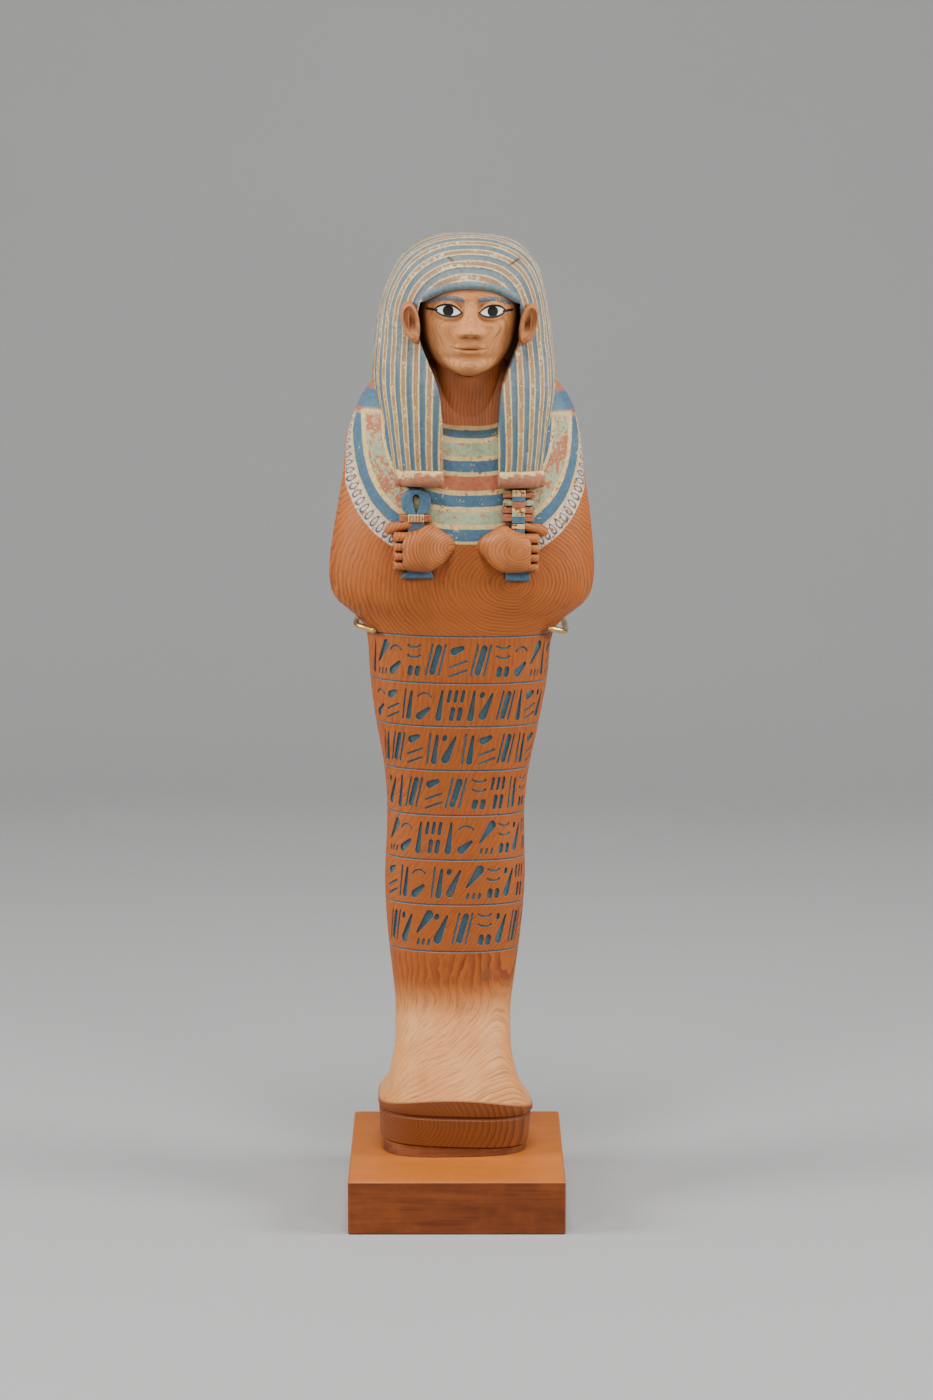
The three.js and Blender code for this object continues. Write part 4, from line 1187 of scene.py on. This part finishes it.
# ---------------------------------------------------------------- other materials
def face_material():
    """Face in its own tone of cedar, with painted white eyes, dark lids and blue-grey brows."""
    n = Nodes("painted_face")
    color, height, blotch = cedar(n, FACE)
    eye = n.value("eye")
    color = n.mix(n.step(eye, 0.12, -0.12), color, EYE_WHITE)
    color = n.mix(n.times(n.step(eye, 0.05, -0.1), n.step(n.value("iris"), 1.75, 1.5)), color, PUPIL)
    rim = n.math("ABSOLUTE", n.minus(eye, 0.12))
    color = n.mix(n.step(rim, 0.42, 0.24), color, EYE_PAINT)
    color = n.mix(n.step(n.value("eye_line"), 1.1, 0.8), color, EYE_PAINT)
    color = paint_layer(n, color, n.step(n.value("brow"), 1.12, 0.8), BROW_PAINT, 0.10, 31.0)
    n.put(n.shader.inputs["Specular IOR Level"], 0.15)
    return n.finish(color, n.step(blotch, 0.2, 0.8, 0.5, 0.66), n.bump(height, 0.00008, 0.3))


def painted_material(name, tone, seed, fade=0.18):
    n = Nodes(name)
    wood, _, blotch = cedar(n, SHIN)
    color = paint_layer(n, wood, 1.0, tone, fade, seed)
    # Creases darkened by ambient occlusion: dirt and painted shade.
    color = n.dirt_and_crease_shade(color, 0.003, 0.15, 0.65, 0.75, CREASE_DIRT_AND_SHADE)
    grain = n.field(900, 4, 0.6)
    return n.finish(color, n.step(blotch, 0.2, 0.8, 0.6, 0.8), n.bump(grain, 0.0001, 0.45))


def roll_material():
    """Pinkish-brown roll with patches of cream left on its upper side."""
    n = Nodes("roll_paint")
    wood, _, blotch = cedar(n, (0.36, 0.14, 0.06))
    color = paint_layer(n, wood, 1.0, ROLL_PINK, 0.10, 45.0)
    patch = n.field((330, 330, 420), 3, 0.6, shift=(2, 5, 0))
    cream = n.step(n.plus(patch, n.times(n.upward(), 0.30)), 0.56, 0.66)
    color = paint_layer(n, color, cream, CREAM, 0.05, 47.0)
    # Creases darkened by ambient occlusion: dirt and painted shade.
    color = n.dirt_and_crease_shade(color, 0.003, 0.2, 0.7, 0.85, CREASE_DIRT_AND_SHADE)
    return n.finish(color, n.step(blotch, 0.2, 0.8, 0.6, 0.8), n.bump(patch, 0.0002, 0.5))


def stand_wood(name, light, dark, along, seed, gloss=0.42):
    """Stained timber with its grain running along one axis (0 = x, 1 = y, 2 = z); tops lighter as painted
    light.
    """
    n = Nodes(name)
    fine, slow = [1100.0] * 3, [90.0] * 3
    fine[along], slow[along] = 45.0, 9.0
    fibre = n.field(fine, 4, 0.6, shift=(seed, seed, seed))
    figure = n.field(slow, 5, 0.62, 0.6, (seed, 0, seed))
    cloud = n.field(60, 4, 0.65, shift=(0, seed, 0))
    color = n.mix(n.step(figure, 0.32, 0.68), light, dark)
    color = n.mix(n.step(fibre, 0.45, 0.8, 0.0, 0.55), color, tuple(c * 0.45 for c in dark))
    color = n.mix(n.step(cloud, 0.45, 0.75, 0.0, 0.45), color, tuple(min(1, c * 1.35) for c in light))
    # Upward faces painted lighter: painted light on the tops of the block and shim.
    color = n.mix(n.step(n.upward(), 0.3, 0.9, 0.0, 0.55), color, (0.64, 0.185, 0.020))
    relief = n.plus(n.times(fibre, 0.6), n.times(figure, 0.6))
    return n.finish(color, n.step(cloud, 0.2, 0.8, gloss, gloss + 0.2), n.bump(relief, 0.00015, 0.5))


def brass_material():
    n = Nodes("polished_brass")
    drawn = n.field((2500, 2500, 120), 3, 0.6)
    cloud = n.field((120, 120, 60), 4, 0.6)
    color = n.mix(n.step(cloud, 0.4, 0.7, 0.0, 0.7), (0.72, 0.46, 0.17), (0.45, 0.26, 0.10))
    n.put(n.shader.inputs["Metallic"], 1.0)
    rough = n.plus(n.step(cloud, 0.3, 0.7, 0.18, 0.34), n.times(drawn, 0.08))
    return n.finish(color, rough, n.bump(drawn, 0.00003, 0.4))


def floor_material():
    n = Nodes("floor")
    soft = n.field(3, 2)
    return n.finish(n.mix(soft, (0.35, 0.35, 0.35), (0.38, 0.38, 0.38)), 0.85)


# ---------------------------------------------------------------- assembly
def place(obj, node):
    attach(obj, "root")
    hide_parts(node)


wood = wood_material("cedar_bare")
wig = wig_material()
blue = painted_material("blue_paint", BLUE, 41.0, 0.03)
red = painted_material("red_brown_paint", (0.36, 0.115, 0.05), 42.0, 0.1)
pale = painted_material("cream_paint", CREAM, 43.0)
green = painted_material("green_paint", GREEN, 44.0)
# Neck colour: the chest's cedar darkened as painted shade under the chin.
neck = wood_material("cedar_neck", tuple(c * k for c, k in zip(CHEST, THROAT_PAINTED_SHADE)))
figure = [
    make_body(),
    make_wig(wig),
    make_rim(painted_material("rim_paint", (0.14, 0.19, 0.21), 46.0, 0.04)),
    make_rolls(roll_material()),
    make_head(face_material()),
    make_neck(neck),
    make_ears(wood_material("cedar_ears", (0.46, 0.19, 0.07))),
    make_hands(wood_material("cedar_hands", (0.44, 0.14, 0.034))),
    make_emblems([wood, blue, red, pale, green]),
]
for obj in figure:
    place(obj, "figurine")
place(make_cradle(brass_material()), "brass_cradle")

block_wood = stand_wood("block_wood", (0.225, 0.052, 0.007), (0.115, 0.022, 0.003), 0, 51.0)
shim_wood = stand_wood("shim_wood", (0.24, 0.075, 0.022), (0.10, 0.03, 0.010), 0, 61.0)
for node, material in (("stand_block", block_wood), ("foot_shim", shim_wood)):
    for obj in bpy.data.objects:
        if obj.type == "MESH" and obj.name.startswith(node):
            obj.data.materials.clear()
            obj.data.materials.append(material)

# ---------------------------------------------------------------- floor, camera and lights
sweep = [(-1.6, 0.0), (0.7, 0.0)] + [(0.7 + 0.6 * math.sin(a), 0.6 * (1 - math.cos(a)))
                                    for a in np.linspace(0.1, math.pi / 2, 14)] + [(1.3, 2.6)]
mesh = bpy.data.meshes.new("floor")
mesh.from_pydata([(x, y, z) for y, z in sweep for x in (-2.5, 2.5)], [],
                 [(2 * i, 2 * i + 1, 2 * i + 3, 2 * i + 2) for i in range(len(sweep) - 1)])
mesh.polygons.foreach_set("use_smooth", [True] * len(mesh.polygons))
mesh.materials.append(floor_material())
floor = bpy.data.objects.new("floor", mesh)
bpy.context.scene.collection.objects.link(floor)

lens = bpy.data.cameras.new("camera")
lens.lens, lens.sensor_width, lens.sensor_height, lens.sensor_fit = 103.1, 36.0, 36.0, "VERTICAL"
camera = bpy.data.objects.new("camera", lens)
camera.location = (0, -1.1739, 0.3291)
camera.rotation_euler = (math.radians(90 - 8.6), 0, math.radians(-0.143))
bpy.context.scene.collection.objects.link(camera)
bpy.context.scene.camera = camera


def area_light(name, place, aim, size, power, color=(1, 1, 1)):
    data = bpy.data.lights.new(name, "AREA")
    data.shape, data.size, data.energy, data.color = "DISK", size, power, color
    light = bpy.data.objects.new(name, data)
    light.location = place
    light.rotation_euler = (Vector(aim) - Vector(place)).to_track_quat("-Z", "Y").to_euler()
    bpy.context.scene.collection.objects.link(light)


area_light("left", (-1.0, -0.20, 0.60), (0, 0, 0.22), 0.5, 14.0, (1.0, 0.985, 0.96))
area_light("right", (1.0, -0.20, 0.60), (0, 0, 0.22), 0.5, 14.0, (1.0, 0.985, 0.96))
area_light("top", (0.0, -0.40, 1.25), (0, 0, 0.1), 0.45, 11.5)
area_light("front_left", (-0.55, -0.85, 0.62), (0, 0, 0.24), 0.35, 3.8)
area_light("front_right", (0.50, -0.90, 0.62), (0, 0, 0.24), 0.35, 3.2)
world = bpy.data.worlds.new("studio")
world.use_nodes = True
world.node_tree.nodes["Background"].inputs[0].default_value = (0.80, 0.82, 0.84, 1.0)
world.node_tree.nodes["Background"].inputs[1].default_value = 0.10
bpy.context.scene.world = world
